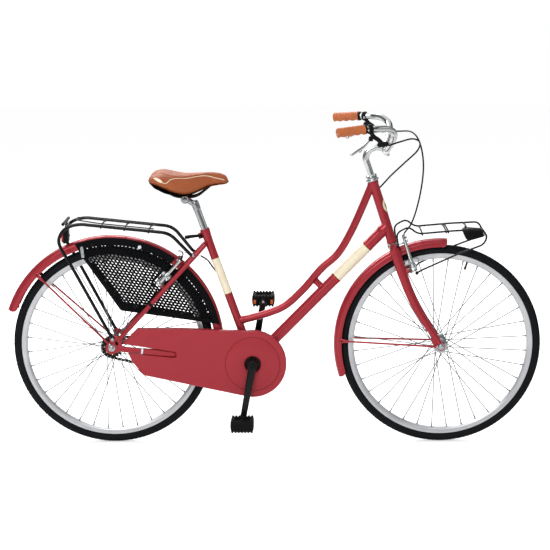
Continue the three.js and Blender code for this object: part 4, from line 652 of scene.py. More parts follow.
def wheel_pieces(wheel):
    """Rim and hub are turned profiles; each spoke is a rod from its own angle in the hub's circle to its own in the
    rim's, crossing by turns."""
    centre, end = wheel.centre, wheel.end
    body = f"{end}_wheel"
    piece(f"{end}_tread_tyre", [(tyre_skin(wheel), "tyre_rubber")], body, (f"{end}_tyre",))
    section = [
        (319.6, 12.2), (320, 13), (319.2, 13.7), (316.6, 13.6), (307, 12.6), (303.4, 11), (301, 7.6), (299.7, 3.6),
        (299.4, 0)]
    outer = np.array(section + [(r, -w) for r, w in section[-2::-1]])
    bed = np.array([(318.8, -11.6), (313, -10.6), (311, 0), (313, 10.6), (318.8, 11.6)])
    rim = lathe(np.vstack([outer, bed]), centre, LEFT, 180, closed=True)
    count = wheel.count
    turn = (np.arange(count) + 0.5) / count * TURN
    lean = np.where(np.arange(count) % 4 < 2, 1, -1)
    flange = np.where(np.arange(count) % 2 == 0, wheel.flanges[0], wheel.flanges[1]).astype(float)
    hub_turn = turn + lean * math.radians(52)
    foot = centre + np.stack([22.5 * np.cos(hub_turn), flange + lean * 1.3, 22.5 * np.sin(hub_turn)], 1)
    tip = centre + np.stack([300 * np.cos(turn), lean * 0 + np.sign(flange) * 1.6, 300 * np.sin(turn)], 1)
    way = unit(tip - foot)
    eyelets = rods(tip - way * 1.2, tip + way * 1.4, 3.4, 10)
    piece(
        f"{end}_rim_hoop", [(rim, "rim_alloy"), (eyelets, "spoke_steel")], body, (f"{end}_rim",)
    )
    nipples = rods(tip, tip - way * 13, 2.4, 8, tip=1.9)
    heads = rods(foot - LEFT * (lean * 3.6)[:, None], foot + LEFT * (lean * 0.6)[:, None], 2.0, 8)
    piece(
        f"{end}_spokes", [(rods(foot, tip, 1.45, 6), "spoke_steel"), (nipples, "spoke_steel"), (heads, "bolt_steel")],
        body)
    low, high = wheel.flanges
    right = 13 if end == "front" else 16
    half = wheel.half
    profile = [
        (5.3, -half), (9, -half), (right - 1, -half + 1), (right, -half + 2.5), (right, low - 5), (18, low - 3.2),
        (24, low - 2.4), (25, low - 1.6), (25, low + 1.6), (24, low + 2.4), (17, low + 3), (12.4, low + 8),
        (11.4, low + 16), (11.4, high - 16), (12.4, high - 8), (17, high - 3), (24, high - 2.4), (25, high - 1.6),
        (25, high + 1.6), (24, high + 2.4), (18, high + 3.2), (13, high + 5), (13, half - 2.5), (12, half - 1),
        (9, half), (5.3, half)]
    band = [(11.6, -3), (12.6, -2.6), (12.8, 0), (12.6, 2.6), (11.6, 3)]
    piece(
        f"{end}_hub_shell",
        [
            (lathe(profile, centre, LEFT, 72, closed=True), "hub_alloy"),
            (lathe(band, centre, LEFT, 36), "chrome_plate")],
        body, (f"{end}_hub",))
    way = ray_at(72.3 if end == "front" else 60)
    stem = lathe(
        [(0, 0), (4.2, 0), (4.2, 3), (3.4, 4), (3.4, 17), (4.4, 18), (4.4, 25), (3.6, 27.5), (0, 27.5)],
        centre + way * 300.5, -way, 20)
    piece(f"{end}_valve", [(stem, "valve_rubber")], body)
    inner = 50 if end == "front" else 60
    fittings = []
    for side in (-1, 1):
        fittings += [
            lathe(
                [
                    (5.2, half + 0.4), (9, half + 0.4), (9.6, half + 1.4), (9.6, inner - 1.2), (9, inner - 0.4),
                    (5.2, inner - 0.4)],
                centre, LEFT * side, 24, closed=True),
            lathe(
                [(5, inner + 5.2), (11.5, inner + 5.2), (11.5, inner + 6.4), (5, inner + 6.4)], centre, LEFT * side,
                28, closed=True),
            hex_nut(centre + LEFT * side * (inner + 6.4), LEFT * side, 9.4, 8.6)]
    fittings.append(rods(centre - LEFT * (inner + 19), centre + LEFT * (inner + 19), 4.6, 20))
    piece(
        f"{end}_axle_nuts", fittings, "steering" if end == "front" else "frame", (f"{end}_axle",),
        coat="bolt_steel")


def flared(path, radius, start=0.0, finish_at=0.0, swell=2.4):
    """A tube's radius with a bell-shaped swell where it is brazed on: the radius plus the swell times the bell of the
    distance from each joint."""
    run = np.concatenate([[0], np.cumsum(np.linalg.norm(np.diff(path, axis=0), axis=1))])
    bell = np.zeros(len(path))
    if start:
        bell += np.exp(-(((run - start) / 7) ** 2))
    if finish_at:
        bell += np.exp(-(((run - (run[-1] - finish_at)) / 7) ** 2))
    return np.broadcast_to(radius, len(path)) + swell * bell


def swan_path(count):
    """The swan tube's line, from the seat tube in one S to the head."""
    start, end = on_seat(430), steer(600)
    shares = [
        (0, 0), (0.22, 0.058), (0.345, 0.112), (0.478, 0.23), (0.62, 0.392), (0.732, 0.492), (0.83, 0.652),
        (0.977, 0.985), (1, 1.04)]
    span = end - start
    return spline([start + [span[0] * x, 0, span[2] * z] for x, z in shares], count)


def band(start, way, first, last, radius, kind):
    """A film round a tube: a turned strip one millimetre deep between two distances along it."""
    return (
        lathe(
            [(radius - 1, first), (radius, first), (radius, last), (radius - 1, last)], start, way, 48, closed=True),
        kind)


def oval_badge(centre, normal, up, wide, tall, core):
    """An oval plate bent round a tube: its rim an ellipse, the width taken as an angle about the tube, the face domed
    by the square of the distance from the middle."""
    side = unit(np.cross(up, normal))
    turn = (np.arange(36) / 36 * TURN)[None]

    def level(reach, out):
        angle = reach * wide * np.cos(turn) / core
        radius = core + out
        return (
            centre - normal * core + (radius * np.cos(angle))[..., None] * normal
            + (radius * np.sin(angle))[..., None] * side + (reach * tall * np.sin(turn))[..., None] * up)

    reach = np.linspace(0.02, 1, 10)[:, None]
    top = level(reach, 1.5 - 0.7 * reach**2)
    under = level(reach[::-1], -0.6)
    return skin(np.concatenate([top, under], 0))


def frame_pieces():
    """The frame's tubes are rings carried along straight lines or the swan line, swelling at each joint; the dropouts
    are flat plates with holes."""
    long_way = unit(steer(449) - BRACKET)
    seat_path = straight(BRACKET + SEAT_UP * 8, on_seat(752), 60)
    seat = flared(seat_path, 14.3, start=16)
    run = np.linspace(0, 1, 60)
    seat = seat + 2.6 * np.clip((run - 0.88) / 0.1, 0, 1) ** 2
    ear = on_seat(732) + [-18.6, 0, 0]
    slot = [pebble(ear + LEFT * s * 4.6, (20, 5, 23), SEAT_UP, LEFT, power=0.35) for s in (-1, 1)]
    shell = lathe(
        [(16.5, -32), (19, -32), (20.2, -30.5), (20.2, 30.5), (19, 32), (16.5, 32)], BRACKET, LEFT, 56, closed=True)
    cups = [
        (
            lathe(
                [(9.2, 0), (15, 0), (16.4, 1), (16.4, 3), (9.2, 4.2)], BRACKET + LEFT * s * 28.6, LEFT * s, 32,
                closed=True),
            "moulded_black") for s in (-1, 1)]
    top_ring = lathe(
        [(12.8, 0), (15.6, 0), (16.4, 1), (16.4, 4), (12.8, 4)], on_seat(750.5), SEAT_UP, 40, closed=True)
    trim = [band(on_seat(528.7), SEAT_UP, 0, 130.8, 14.75, "cream_film")]
    for at in (0, 130.8):
        trim.append(band(on_seat(528.7), SEAT_UP, at - 0.9, at + 0.9, 14.9, "gold_line"))
    piece("seat_tube_enamelled", [tube(seat_path, seat, 40), shell, top_ring, *slot, *cups, *trim],
          "frame", ("seat_tube",), coat="frame_enamel")
    down_path = straight(BRACKET, steer(449), 90)
    trim = [band(BRACKET, long_way, 414.6, 564.7, 19.45, "cream_film")]
    for at, step in ((414.6, -1), (564.7, 1)):
        trim += [band(BRACKET, long_way, *sorted((at + step * a, at + step * b)), 19.6, kind)
                 for a, b, kind in ((-2.2, 0, "gold_line"), (0, 2.4, "dark_line"), (3.4, 7.6, "bright_line"))]
    piece(
        "down_tube_enamelled", [tube(down_path, flared(down_path, 19, start=21, finish_at=19), 44), *trim], "frame",
        ("down_tube",), coat="frame_enamel")
    swan = swan_path(120)
    strut_foot = BRACKET + (steer(449) - BRACKET) * 0.535
    across = unit(np.cross(long_way, LEFT))
    across = across if across[2] > 0 else -across
    strut_path = straight(strut_foot + across * 14, strut_foot + across * 46, 24)
    mid = np.abs(np.linspace(-1, 1, 24))
    piece(
        "swan_tube_enamelled",
        [tube(swan, flared(swan, 13, start=15, finish_at=18), 36), tube(strut_path, 11.4 + 6 * mid**4, 28)], "frame",
        ("top_tube",), coat="frame_enamel")
    neck = [
        (14, 0), (17.6, 0), (18.1, 1), (18.1, 8), (17.2, 10), (16.5, 13), (16.5, 211), (17.2, 214), (18.1, 216),
        (18.1, 223), (17.6, 224), (14, 224)]
    badge = oval_badge(steer(0, 16.5) + STEER_UP * 520, STEER_AHEAD, STEER_UP, 18, 24, 16.5)
    ring = oval_badge(steer(0, 16.2) + STEER_UP * 520, STEER_AHEAD, STEER_UP, 19.6, 26, 16.2)
    core = oval_badge(steer(0, 17.1) + STEER_UP * 520, STEER_AHEAD, STEER_UP, 11, 15, 17.1)
    piece(
        "head_tube_enamelled",
        [
            lathe(neck, steer(390), STEER_UP, 56, closed=True), (ring, "gold_line"), (badge, "cream_film"),
            (core, "gold_line")],
        "frame", ("head_tube",), coat="frame_enamel")
    parts = []
    for side in (-1, 1):
        start, end = BRACKET + LEFT * side * 22, REAR + LEFT * side * 62.5
        path = straight(start, start + (end - start) * 0.95, 50)
        share = np.linspace(0, 1, 50)
        parts.append(
            tube(path, flared(path, 9.5 - 1.2 * share, start=20), 26, other=flared(path, 9.5 + 0.6 * share, start=20))
        )
        outer = np.vstack([
            circle(0, WHEEL_RADIUS, 21.5, 26, math.radians(125), math.radians(300)),
            [
                (26, 336.5), (48, 336.8), (50, 345), (44, 350), (35, 356), (33, 377), (31, 383), (22, 389), (12, 391),
                (3, 392), (-4, 390), (-8, 383), (-6, 372)]])
        hole = np.array([(11, 361), (23, 357), (21, 371), (14, 377)])
        slit = circle(0, WHEEL_RADIUS, 5.6, 24)
        y = side * 60
        parts.append(plate([outer, hole, slit], min(y, y + side * 5), max(y, y + side * 5)))
        parts.append((bolt_head(np.array([4, side * 64.6, 381]), LEFT * side, 6, 5), "bolt_steel"))
    bridge = tube(straight((401, -28, 300.5), (401, 28, 300.5), 10), 6, 18)
    band_at = REAR + (BRACKET - REAR) * 0.222 + LEFT * -53.5
    stay_way = unit(BRACKET + LEFT * -22 - REAR - LEFT * -62.5)
    parts += [
        bridge,
        (
            lathe(
                [(9, -7.5), (10.6, -7.5), (10.9, -6.5), (10.9, 6.5), (10.6, 7.5), (9, 7.5)], band_at, stay_way, 30,
                closed=True),
            "reflector_band")]
    piece("chainstays_enamelled", parts, "frame", ("chainstays",), coat="frame_enamel")
    parts = []
    for side in (-1, 1):
        foot = STAY_FOOT + LEFT * side * 61.5
        top = STAY_TOP + LEFT * side * 23
        knee = (STAY_FOOT + (STAY_TOP - STAY_FOOT) * 0.83) + LEFT * side * 40
        path = bends([foot, knee, top], 60, 12, 80)
        share = np.linspace(0, 1, 80)
        parts.append(tube(path, 7.2 + 0.8 * np.minimum(share * 8, 1), 24))
        parts.append(pebble(foot + STAY_WAY * 4, (26, 6.5, 13), STAY_WAY, LEFT, power=0.5))
        parts += boss(on_stay, side)
        clip = foot + (knee - foot) * (166 / np.linalg.norm(knee - foot))
        parts.append((
            lathe(
                [(7.4, -5), (9, -5), (9.4, -4), (9.4, 4), (9, 5), (7.4, 5)], clip, unit(knee - foot), 24, closed=True
            ),
            "moulded_black"))
    knee = STAY_FOOT + (STAY_TOP - STAY_FOOT) * 0.83
    parts.append(tube(straight(knee - LEFT * 40, knee + LEFT * 40, 12), 6, 20))
    parts.append(
        tube(
            bends([STAY_TOP - LEFT * 23, STAY_TOP + [2, 0, 1], STAY_TOP + LEFT * 23], 18, 9, 24), 8, 22, ends="round")
    )
    piece("seat_stays_enamelled", parts, "frame", ("seatstays",), coat="frame_enamel")


def boss(place, side, reach=0.0):
    """A brake pivot brazed on a stay, with the bolt that holds the arm, and a black bush where the arm stands further
    off."""
    foot = place(0, 0, side * 42)
    way = place(0, 1, 0) - place(0, 0, 0)
    red = 19.4 + reach * 0.5
    parts = [(
        lathe(
            [(0, 0), (8.2, 0), (7.6, 12), (7.6, red), (5, red + 0.3), (5, 34.2 + reach), (0, 34.2 + reach)], foot,
            way, 24),
        "frame_enamel")]
    if reach:
        parts.append((
            lathe(
                [(5.1, red + 0.4), (7.4, red + 0.4), (7.4, 19.2 + reach), (5.1, 19.2 + reach)], foot, way, 24,
                closed=True),
            "moulded_black"))
    parts.append((bolt_head(foot + way * (34.2 + reach), way, 7.4, 5), "bolt_steel"))
    return parts


def fork_pieces():
    """Each blade is rings along a smooth line, wide ahead and thin across, both falling with a power of the way down;
    an arch joins them at the crown."""
    parts = []
    way = [(372, 0), (285, 1), (183, 8), (96, 26), (40, 44), (10, 52)]

    def reach(along):
        return 55 + (40.5 - 55) * (along / 372) ** 0.8

    for side in (-1, 1):
        path = spline([steer(a, f, side * reach(a)) for a, f in way], 80)
        share = np.linspace(0, 1, 80)
        wide = 17.2 - 8.2 * share**2
        thin = 11.6 - 4.0 * share**1.4
        parts.append(tube(path, thin, 30, other=wide))
        tip = np.vstack([
            circle(FRONT_X, WHEEL_RADIUS, 14.5, 26, math.radians(-150), math.radians(110)),
            [(1122, 372), (1106, 386), (1100, 374), (1112, 352)]])
        y = side * 50
        parts.append(plate([tip, circle(FRONT_X, WHEEL_RADIUS, 5.6, 20)], min(y, y + side * 5), max(y, y + side * 5)))
        parts += boss(on_fork, side, FRONT_REACH)
    arch = spline(
        [
            steer(330, 0.4, -reach(330)), steer(352, 0, -41), steer(368, 0, -34), steer(374.5, 0, -18),
            steer(375.5, 0, 0), steer(374.5, 0, 18), steer(368, 0, 34), steer(352, 0, 41), steer(330, 0.4, reach(330))
        ],
        60)
    parts.append(tube(arch, 13.6, 30, side=STEER_AHEAD))
    parts.append(lathe([(0, 352), (13.5, 352), (17.6, 378), (17.6, 381), (0, 381.4)], STEER_FOOT, STEER_UP, 40))
    parts.append((
        lathe([(0, 380), (12.7, 380), (12.7, 637), (12, 638), (0, 638)], STEER_FOOT, STEER_UP, 40), "chrome_plate"))
    collar = lathe(
        [(17.2, 371), (20.6, 372), (21, 374), (21, 380), (20, 381.4), (17.2, 381.4)], STEER_FOOT, STEER_UP, 40,
        closed=True)
    bracket = pebble(steer(376, 30), (34, 16, 2.6), STEER_AHEAD, LEFT, power=0.3)
    parts += [
        (collar, "chrome_plate"), (bracket, "bolt_steel"), (bolt_head(steer(377, 38), STEER_UP, 6, 5), "bolt_steel")]
    piece("fork_enamelled", parts, "steering", ("fork",), coat="frame_enamel")


def headset_pieces():
    """Cups and nut are turned profiles; the lock ring is eight-sided rings at their own radii and heights."""
    low = [
        (13.6, 390), (17.6, 389.7), (19.6, 388.6), (20, 386), (20.4, 385), (20.4, 382.6), (19, 381.8), (13.6, 381.8)]
    piece(
        "headset_lower_cup", [lathe(low, STEER_FOOT, STEER_UP, 48, closed=True)], "frame", ("headset_lower",),
        coat="chrome_plate")
    high = [
        (13.6, 614.3), (18, 614.3), (21.6, 615.6), (22.2, 617), (22.2, 620), (21.4, 621.4), (19, 622.2), (13.6, 622.3)
    ]
    piece(
        "headset_upper_cup", [lathe(high, STEER_FOOT, STEER_UP, 48, closed=True)], "frame", ("headset_upper",),
        coat="chrome_plate")
    nut = lathe(
        [(13.6, 622.9), (17.6, 622.9), (18.4, 624), (18.4, 626.6), (16.6, 627.4), (13.6, 627.6)], STEER_FOOT,
        STEER_UP, 48, closed=True)
    a = unit(np.cross(STEER_UP, LEFT))
    turn = np.arange(8) / 8 * TURN
    ring = np.cos(turn)[:, None] * a + np.sin(turn)[:, None] * LEFT
    levels = [(13, 627.8), (18.2, 628.3), (19.2, 629.4), (19.2, 634.4), (18.2, 635.6), (13.4, 638.4)]
    lock = skin(np.stack([STEER_FOOT + STEER_UP * h + ring * r for r, h in levels]))
    piece("headset_lock_ring", [nut, lock], "steering", ("headset_locknut",), coat="chrome_plate")


def fender_skin(centre, radius, depth, first, last):
    """A fender: its section a smooth line through five shares of half width and depth, offset inwards by the sheet's
    thickness, swung through an arc; the end rows meet in the middle of the sheet, and a bead runs along each edge."""
    shares = [
        (-0.985, 1), (-1, 0.86), (-0.955, 0.42), (-0.6, 0.1), (0, 0), (0.6, 0.1), (0.955, 0.42), (1, 0.86), (0.985, 1)
    ]
    line = spline([(26 * w, radius - depth * d) for w, d in shares], 45)
    way = unit(np.gradient(line, axis=0))
    inner = line + np.stack([way[:, 1], -way[:, 0]], 1) * 1.3
    section = np.vstack([line, inner[::-1]])
    middle = (section + section[::-1]) / 2
    turn = np.radians(np.linspace(first, last, 120))
    rows = [middle] + [section] * len(turn) + [middle]
    turn = np.concatenate([[turn[0]], turn, [turn[-1]]])
    rows = np.array(rows)
    ray = np.stack([np.cos(turn), np.zeros(len(turn)), np.sin(turn)], 1)
    near = np.clip((radius - rows[..., 1] - depth + 17) / 17, 0, 1)
    number = np.arange(len(turn))[:, None]
    lead = np.clip(1 - number / 10, 0, 1) - np.clip(1 - (len(turn) - 1 - number) / 10, 0, 1)
    bent = turn[:, None] + np.sign(last - first) * lead * (1 - np.sqrt(1 - near**2)) * 17 / radius
    grid = (
        centre + rows[..., 1, None] * np.stack([np.cos(bent), np.zeros(bent.shape), np.sin(bent)], -1)
        + rows[..., 0, None] * LEFT)
    shell = skin(grid, capped=False)
    beads = []
    for side in (-1, 1):
        arc = centre + (radius - depth) * ray[4:-4] + LEFT * side * 25.4
        beads.append(tube(arc, 1.5, 8, side=LEFT, ends="round"))
    lips = []
    for at in (1, -2):
        lip = grid[at][:45] - ray[at] * 0.65
        lips.append(tube(lip, 1.5, 8, side=ray[at], ends="round"))
    return merge(shell, *beads, *lips)


def stay_skin(centre, radius, angle, foot_x, foot_z, foot_side):
    """A fender's stay on each side: a rod from the dropout up to the fender's wall, where it is flattened and bolted.
    """
    ray = ray_at(angle)
    parts = []
    for side in (-1, 1):
        foot = np.array([foot_x, side * foot_side, foot_z])
        top = centre + ray * (radius - 22) + LEFT * side * 28.6
        path = straight(foot, top, 30)
        share = np.linspace(0, 1, 30)
        flat = np.clip((share - 0.9) / 0.08, 0, 1) + np.clip((0.03 - share) / 0.02, 0, 1)
        parts.append((
            tube(path, 3.3 - 1.7 * flat, 14, other=3.3 + 4.2 * flat, side=LEFT, ends="round"), "frame_enamel"))
        parts.append((bolt_head(top - ray * 5 + LEFT * side * 1.2, LEFT * side, 3.2, 2.2), "moulded_black"))
        parts.append((bolt_head(foot + LEFT * side * 1.5, LEFT * side, 5, 4), "bolt_steel"))
    return parts


def fender_pieces():
    piece(
        "front_fender_pressed", [(fender_skin(FRONT, 370, 26, 87, 198), "frame_enamel")], "steering",
        ("front_fender",))
    piece(
        "rear_fender_pressed", [(fender_skin(REAR, 386, 30, -2, 160.5), "frame_enamel")], "frame", ("rear_fender",))
    piece(
        "front_fender_rods", stay_skin(FRONT, 370, 177.5, 1124.3, 348, 57.8), "steering", ("front_fender_stay",))
    piece("rear_fender_rods", stay_skin(REAR, 386, 135.7, -6, 360, 67.8), "frame", ("rear_fender_stay",))


def case_outline():
    """The chain case's outline: straight runs, the mouth's half circle behind and an arc round the bracket."""
    slot = circle(213, 322, 10.9, 13, math.radians(95), math.radians(-85))
    arc = circle(BRACKET[0], BRACKET[2], 117, 61, math.radians(-100), math.radians(100))
    return np.vstack([
        [(464, 404), (238.5, 414), (96, 414.5), (88, 413), (84, 410), (36.3, 361.3)], slot,
        [(54.7, 329), (68.6, 298.8), (103, 254.6), (105.5, 251.4), (110, 249.6), (445.4, 177.6)], arc[1:-1]])


def case_pieces():
    """The chain case: its outline carried outwards, then over a quarter-round edge; the face is cut out for a raised
    disc whose step is turned."""
    outline = case_outline()
    outline = even_loop(outline, 420)
    turn = np.linspace(0, math.pi / 2, 6)
    rows = [(0, -34.8)] + [(3.6 * (1 - math.cos(t)), -56.4 - 3.6 * math.sin(t)) for t in turn]
    rings = []
    for inward, y in rows:
        rings.append(upright(inset(outline, inward), y))
    back = []
    for inward, y in ((5.2, -57.8), (1.8, -56), (1.6, -34.8)):
        back.append(upright(inset(outline, inward), y))
    wall = skin(np.stack(rings + back), capped=False, along=True)
    face = plate([inset(outline, 3.6), circle(BRACKET[0], BRACKET[2], 95.8, 96)], -60, -58.2)
    step = [
        (96, -56), (96, -60), (95.6, -60), (95.3, -58.4), (93.6, -58.4), (93.2, -60.5), (92, -61), (34, -61),
        (31, -60.6), (28.6, -59), (28.2, -52), (29.6, -52), (30.4, -58), (33, -59.4), (91, -59.4), (92.6, -56)]
    disc = lathe([(r, -y) for r, y in step], BRACKET, -LEFT, 96, closed=True)
    way = BRACKET + LEFT * -22 - REAR - LEFT * -62.5
    sleeve = tube(spaced(REAR + LEFT * -62.5 + np.outer([0.222, 0.437], way), 40), 11.2, 32, ends="round")
    piece(
        "chain_case_pressed", [wall, face, disc, sleeve], "frame", ("chaincase_cover",), sharp=50,
        coat="case_enamel")


# Pitch radii of 44 and 18 teeth, and the distance of the chain's pins.
CHAINWHEEL_RADIUS, SPROCKET_RADIUS, CHAIN_PITCH = 89.0, 36.57, 12.7


def drive_line(offset, count):
    """The chain's loop: an arc round each toothed wheel, at the angles where the shared tangent meets them."""
    big, small = CHAINWHEEL_RADIUS + offset, SPROCKET_RADIUS + offset
    span = REAR - BRACKET
    heading = math.atan2(span[2], span[0])
    lean = math.acos((big - small) / np.hypot(span[0], span[2]))
    front = circle(BRACKET[0], BRACKET[2], big, 90, heading + lean, heading + TURN - lean)
    rear = circle(0, WHEEL_RADIUS, small, 45, heading - lean, heading + lean)
    loop = np.vstack([front, rear, front[:1]])
    return spaced(loop, count + 1)


def toothed(centre, teeth, pitch, holes):
    """A toothed wheel's outline: the pitch radius plus a wave with one crest a tooth, its valleys rounded by the
    power of the cosine."""
    turn = np.arange(teeth * 10) / (teeth * 10) * TURN
    wave = np.cos(turn * teeth) * 0.5 + 0.5
    radius = pitch - 4.2 + 7.6 * wave**0.7
    loop = np.stack([centre[0] + radius * np.cos(turn), centre[2] + radius * np.sin(turn)], 1)
    return plate([loop, *holes], -45.1, -42.9)


def drive_pieces():
    """The chain is one waisted link copied to each pin, turned to the next one, wide and narrow by turns; the toothed
    wheels are flat plates."""
    line = drive_line(0, 900)
    length = np.linalg.norm(np.diff(line, axis=0), axis=1).sum()
    count = 2 * round(length / CHAIN_PITCH / 2)
    pins = drive_line(0, count)[:-1]
    ahead = np.roll(pins, -1, 0)
    way = unit(ahead - pins)
    turn = np.linspace(0, TURN, 24, endpoint=False)
    x = np.cos(turn) * 4.1 + np.where(np.cos(turn) > 0, CHAIN_PITCH, 0)
    z = np.sin(turn) * 4.1
    waist = np.array([(6.35, 2.7), (6.35, -2.7)])
    order = np.vstack([
        np.stack([x, z], 1)[:6], waist[:1], np.stack([x, z], 1)[6:18], waist[1:], np.stack([x, z], 1)[18:]])
    link = skin(np.stack([upright(order, y) for y in (0, 1)]))
    place = upright(pins, -44.0)
    x_way = np.stack([way[:, 0], np.zeros(count), way[:, 1]], 1)
    z_way = np.stack([-way[:, 1], np.zeros(count), way[:, 0]], 1)
    outer = np.arange(count) % 2 == 0
    parts = []
    for which, reach in ((outer, 2.7), (~outer, 1.6)):
        for side in (-1, 1):
            y = side * reach - 0.5
            parts.append((scatter(link, place[which] + LEFT * y, x_way[which], LEFT, z_way[which]), "oiled_steel"))
    parts.append((rods(place - LEFT * 1.7, place + LEFT * 1.7, 3.8, 12), "oiled_steel"))
    parts.append((rods(place - LEFT * 3.9, place + LEFT * 3.9, 1.8, 8), "bolt_steel"))
    piece("chain_links", parts, "frame", ("chain",))
    holes = [
        circle(BRACKET[0] + 58 * math.cos(a), BRACKET[2] + 58 * math.sin(a), 17, 20) for a in np.arange(5) / 5 * TURN]
    wheel = toothed(BRACKET, 44, CHAINWHEEL_RADIUS, [circle(BRACKET[0], BRACKET[2], 9.2, 24), *holes])
    boss_ring = lathe([(9.2, 37), (17, 37), (17, 51), (9.2, 51)], BRACKET, -LEFT, 36, closed=True)
    piece("chainwheel_toothed", [(wheel, "oiled_steel"), (boss_ring, "oiled_steel")], "crank", ("chainwheel",))
    holes = [circle(26 * math.cos(a), WHEEL_RADIUS + 26 * math.sin(a), 2.6, 10) for a in np.arange(8) / 8 * TURN]
    cog = toothed(REAR, 18, SPROCKET_RADIUS, [circle(0, WHEEL_RADIUS, 16.7, 30), *holes])
    ring = lathe(
        [(16.7, 40), (20, 40), (21.5, 41.4), (21.5, 47.2), (20, 48), (16.7, 48)], REAR, -LEFT, 36, closed=True)
    piece("sprocket_toothed", [(cog, "oiled_steel"), (ring, "oiled_steel")], "sprocket", ("rear_sprocket",))


# The left crank's way and length, 10.3 degrees forward of upright; the right one's is the opposite.
CRANK_WAY = np.array([math.sin(math.radians(10.3)), 0, math.cos(math.radians(10.3))]) * 196


def crank_tip(side, out):
    """The pedal's place at a crank's end, at a distance to the side."""
    return BRACKET + side * (CRANK_WAY + LEFT * out)


def crank_pieces():
    """Each crank is a bar whose section goes from a wide rounded oblong at the axle to a narrow one at the pedal, and
    swells round both ends."""
    for side, hand in HANDS:
        tip = crank_tip(side, 83)
        start = BRACKET + LEFT * side * 71
        way = unit((tip - start) * [1, 0, 1])
        across = unit(np.cross(LEFT, way))
        share = np.linspace(0, 1, 60)
        centre = start + (tip - start) * share[:, None] + LEFT * side * (2.2 * np.sin(share * math.pi))[:, None]
        wide = 13.6 - 3.4 * share + 4.0 * np.exp(-((share / 0.09) ** 2)) + 3.6 * np.exp(-(((share - 1) / 0.07) ** 2))
        thick = 6.6 - 0.6 * share
        turn = (np.arange(28) / 28 * TURN)[None]
        grid = (
            centre[:, None] + (wide[:, None] * softened(np.cos(turn), 0.5))[..., None] * across
            + (thick[:, None] * softened(np.sin(turn), 0.5))[..., None] * LEFT)
        arm = skin(grid)
        hub = lathe(
            [
                (0, 62.6), (15, 62.6), (17, 64), (17.4, 70), (16.6, 76.6), (15, 78.6), (12.6, 78.6), (12, 77.6),
                (0, 77.6)],
            BRACKET, LEFT * side, 48)
        cap = lathe([(0, 77.4), (11.4, 77.4), (11.4, 79), (9, 80.2), (0, 80.8)], BRACKET, LEFT * side, 32)
        end_eye = lathe([(0, -7), (10, -7), (11, -6), (11, 6), (10, 7), (0, 7)], tip, LEFT * side, 32)
        piece(
            f"crank_{hand}_forged",
            [
                (arm, "carrier_enamel"), (hub, "carrier_enamel"), (cap, "moulded_black"), (end_eye, "carrier_enamel"),
                (bolt_head(tip + LEFT * side * -7, LEFT * -side, 5, 2.4), "bolt_steel")],
            "crank", (f"crank_{hand}",))


def pedal_pieces():
    """A pedal is rounded blocks round a turned barrel, with rows of short tapered rods as its teeth."""
    for side, hand in HANDS:
        inner = 91.2
        centre = crank_tip(side, inner + 46)
        parts = []
        for u in (-1, 1):
            rail = centre + [u * 33, 0, 0]
            parts.append(pebble(rail, (13, 88, 31), power=0.3))
            teeth = np.linspace(-38, 38, 9)
            spots = rail + np.stack([np.zeros(9), teeth, np.zeros(9)], 1)
            for v in (-1, 1):
                parts.append(rods(spots + [0, 0, v * 12], spots + [0, 0, v * 17], 3.6, 8, tip=2.2))
            parts.append((pebble(rail + [u * 6.4, 0, 0], (2.6, 52, 16), power=0.25), "amber_lens"))
        for v in (-1, 0, 1):
            cross = centre + [0, v * 39.5, 0]
            parts.append(pebble(cross, (76, 9, 33.6) if v else (68, 12, 25), power=0.25))
            if v:
                spots = cross + np.stack([np.linspace(-33, 33, 7), np.zeros(7), np.zeros(7)], 1)
                for w in (-1, 1):
                    parts.append(rods(spots + [0, 0, w * 15], spots + [0, 0, w * 20.6], 4.6, 10, tip=3.2))
            knobs = np.array([-22.0, -11, 0, 11, 22])
            spots = cross + np.stack([knobs, np.zeros(5), np.zeros(5)], 1)
            for w in (-1, 1):
                parts.append(rods(spots + [0, 0, w * 11], spots + [0, 0, w * 16.4], 3.6, 8, tip=2.4))
        for u in (-1, 1):
            parts.append((pebble(centre + [u * 30, side * -44.4, -3], (9, 2.6, 15), power=0.3), "amber_lens"))
        parts.append(lathe([(0, -44), (11, -44), (11, 40), (9, 44), (0, 44)], centre, LEFT * side, 28))
        parts.append(hex_nut(centre + LEFT * side * 43.5, LEFT * side, 8.4, 2.2))
        foot = crank_tip(side, 77)
        parts.append((
            lathe(
                [(0, 0), (5.6, 0), (5.6, 13.4), (8.6, 13.6), (8.6, 15.6), (7, 16), (7, 22), (0, 22)], foot,
                LEFT * side, 28),
            "bolt_steel"))
        piece(
            f"pedal_{hand}_body_moulded", parts, f"pedal_{hand}_body", (f"pedal_{hand}",),
            coat="moulded_black")


# The saddle's stations: millimetres from its back, half its width, and the heights of its underside and top.
SADDLE = np.array(
    [
        (0, 56, 924, 938), (12, 88, 918, 950), (40, 104, 906, 956), (62, 104, 895, 954), (85, 101, 885, 949),
        (120, 84, 876, 944.5), (146, 66, 879.5, 945), (169, 51, 887.5, 946), (205, 34, 903, 948),
        (240, 27, 910, 947.5), (262, 20, 912, 941), (271, 10, 915, 930)],
    float)
# Lines on the saddle's right side: millimetres from its back and degrees round it from the left.
SIDE_LINE = [
    (54, 173.5), (63.6, 172.7), (73.4, 156.4), (82.7, 141), (104, 129), (142, 126.5), (168, 124), (190, 126),
    (210, 139), (226, 157), (242, 169), (259, 177)]
CRESCENT_TOP = [(21, 151), (28, 148.5), (36.7, 151.5), (48.2, 160), (55, 173.5)]
CRESCENT_LOW = [(21, 151), (25, 160), (32, 169.5), (43, 176), (55, 173.5)]


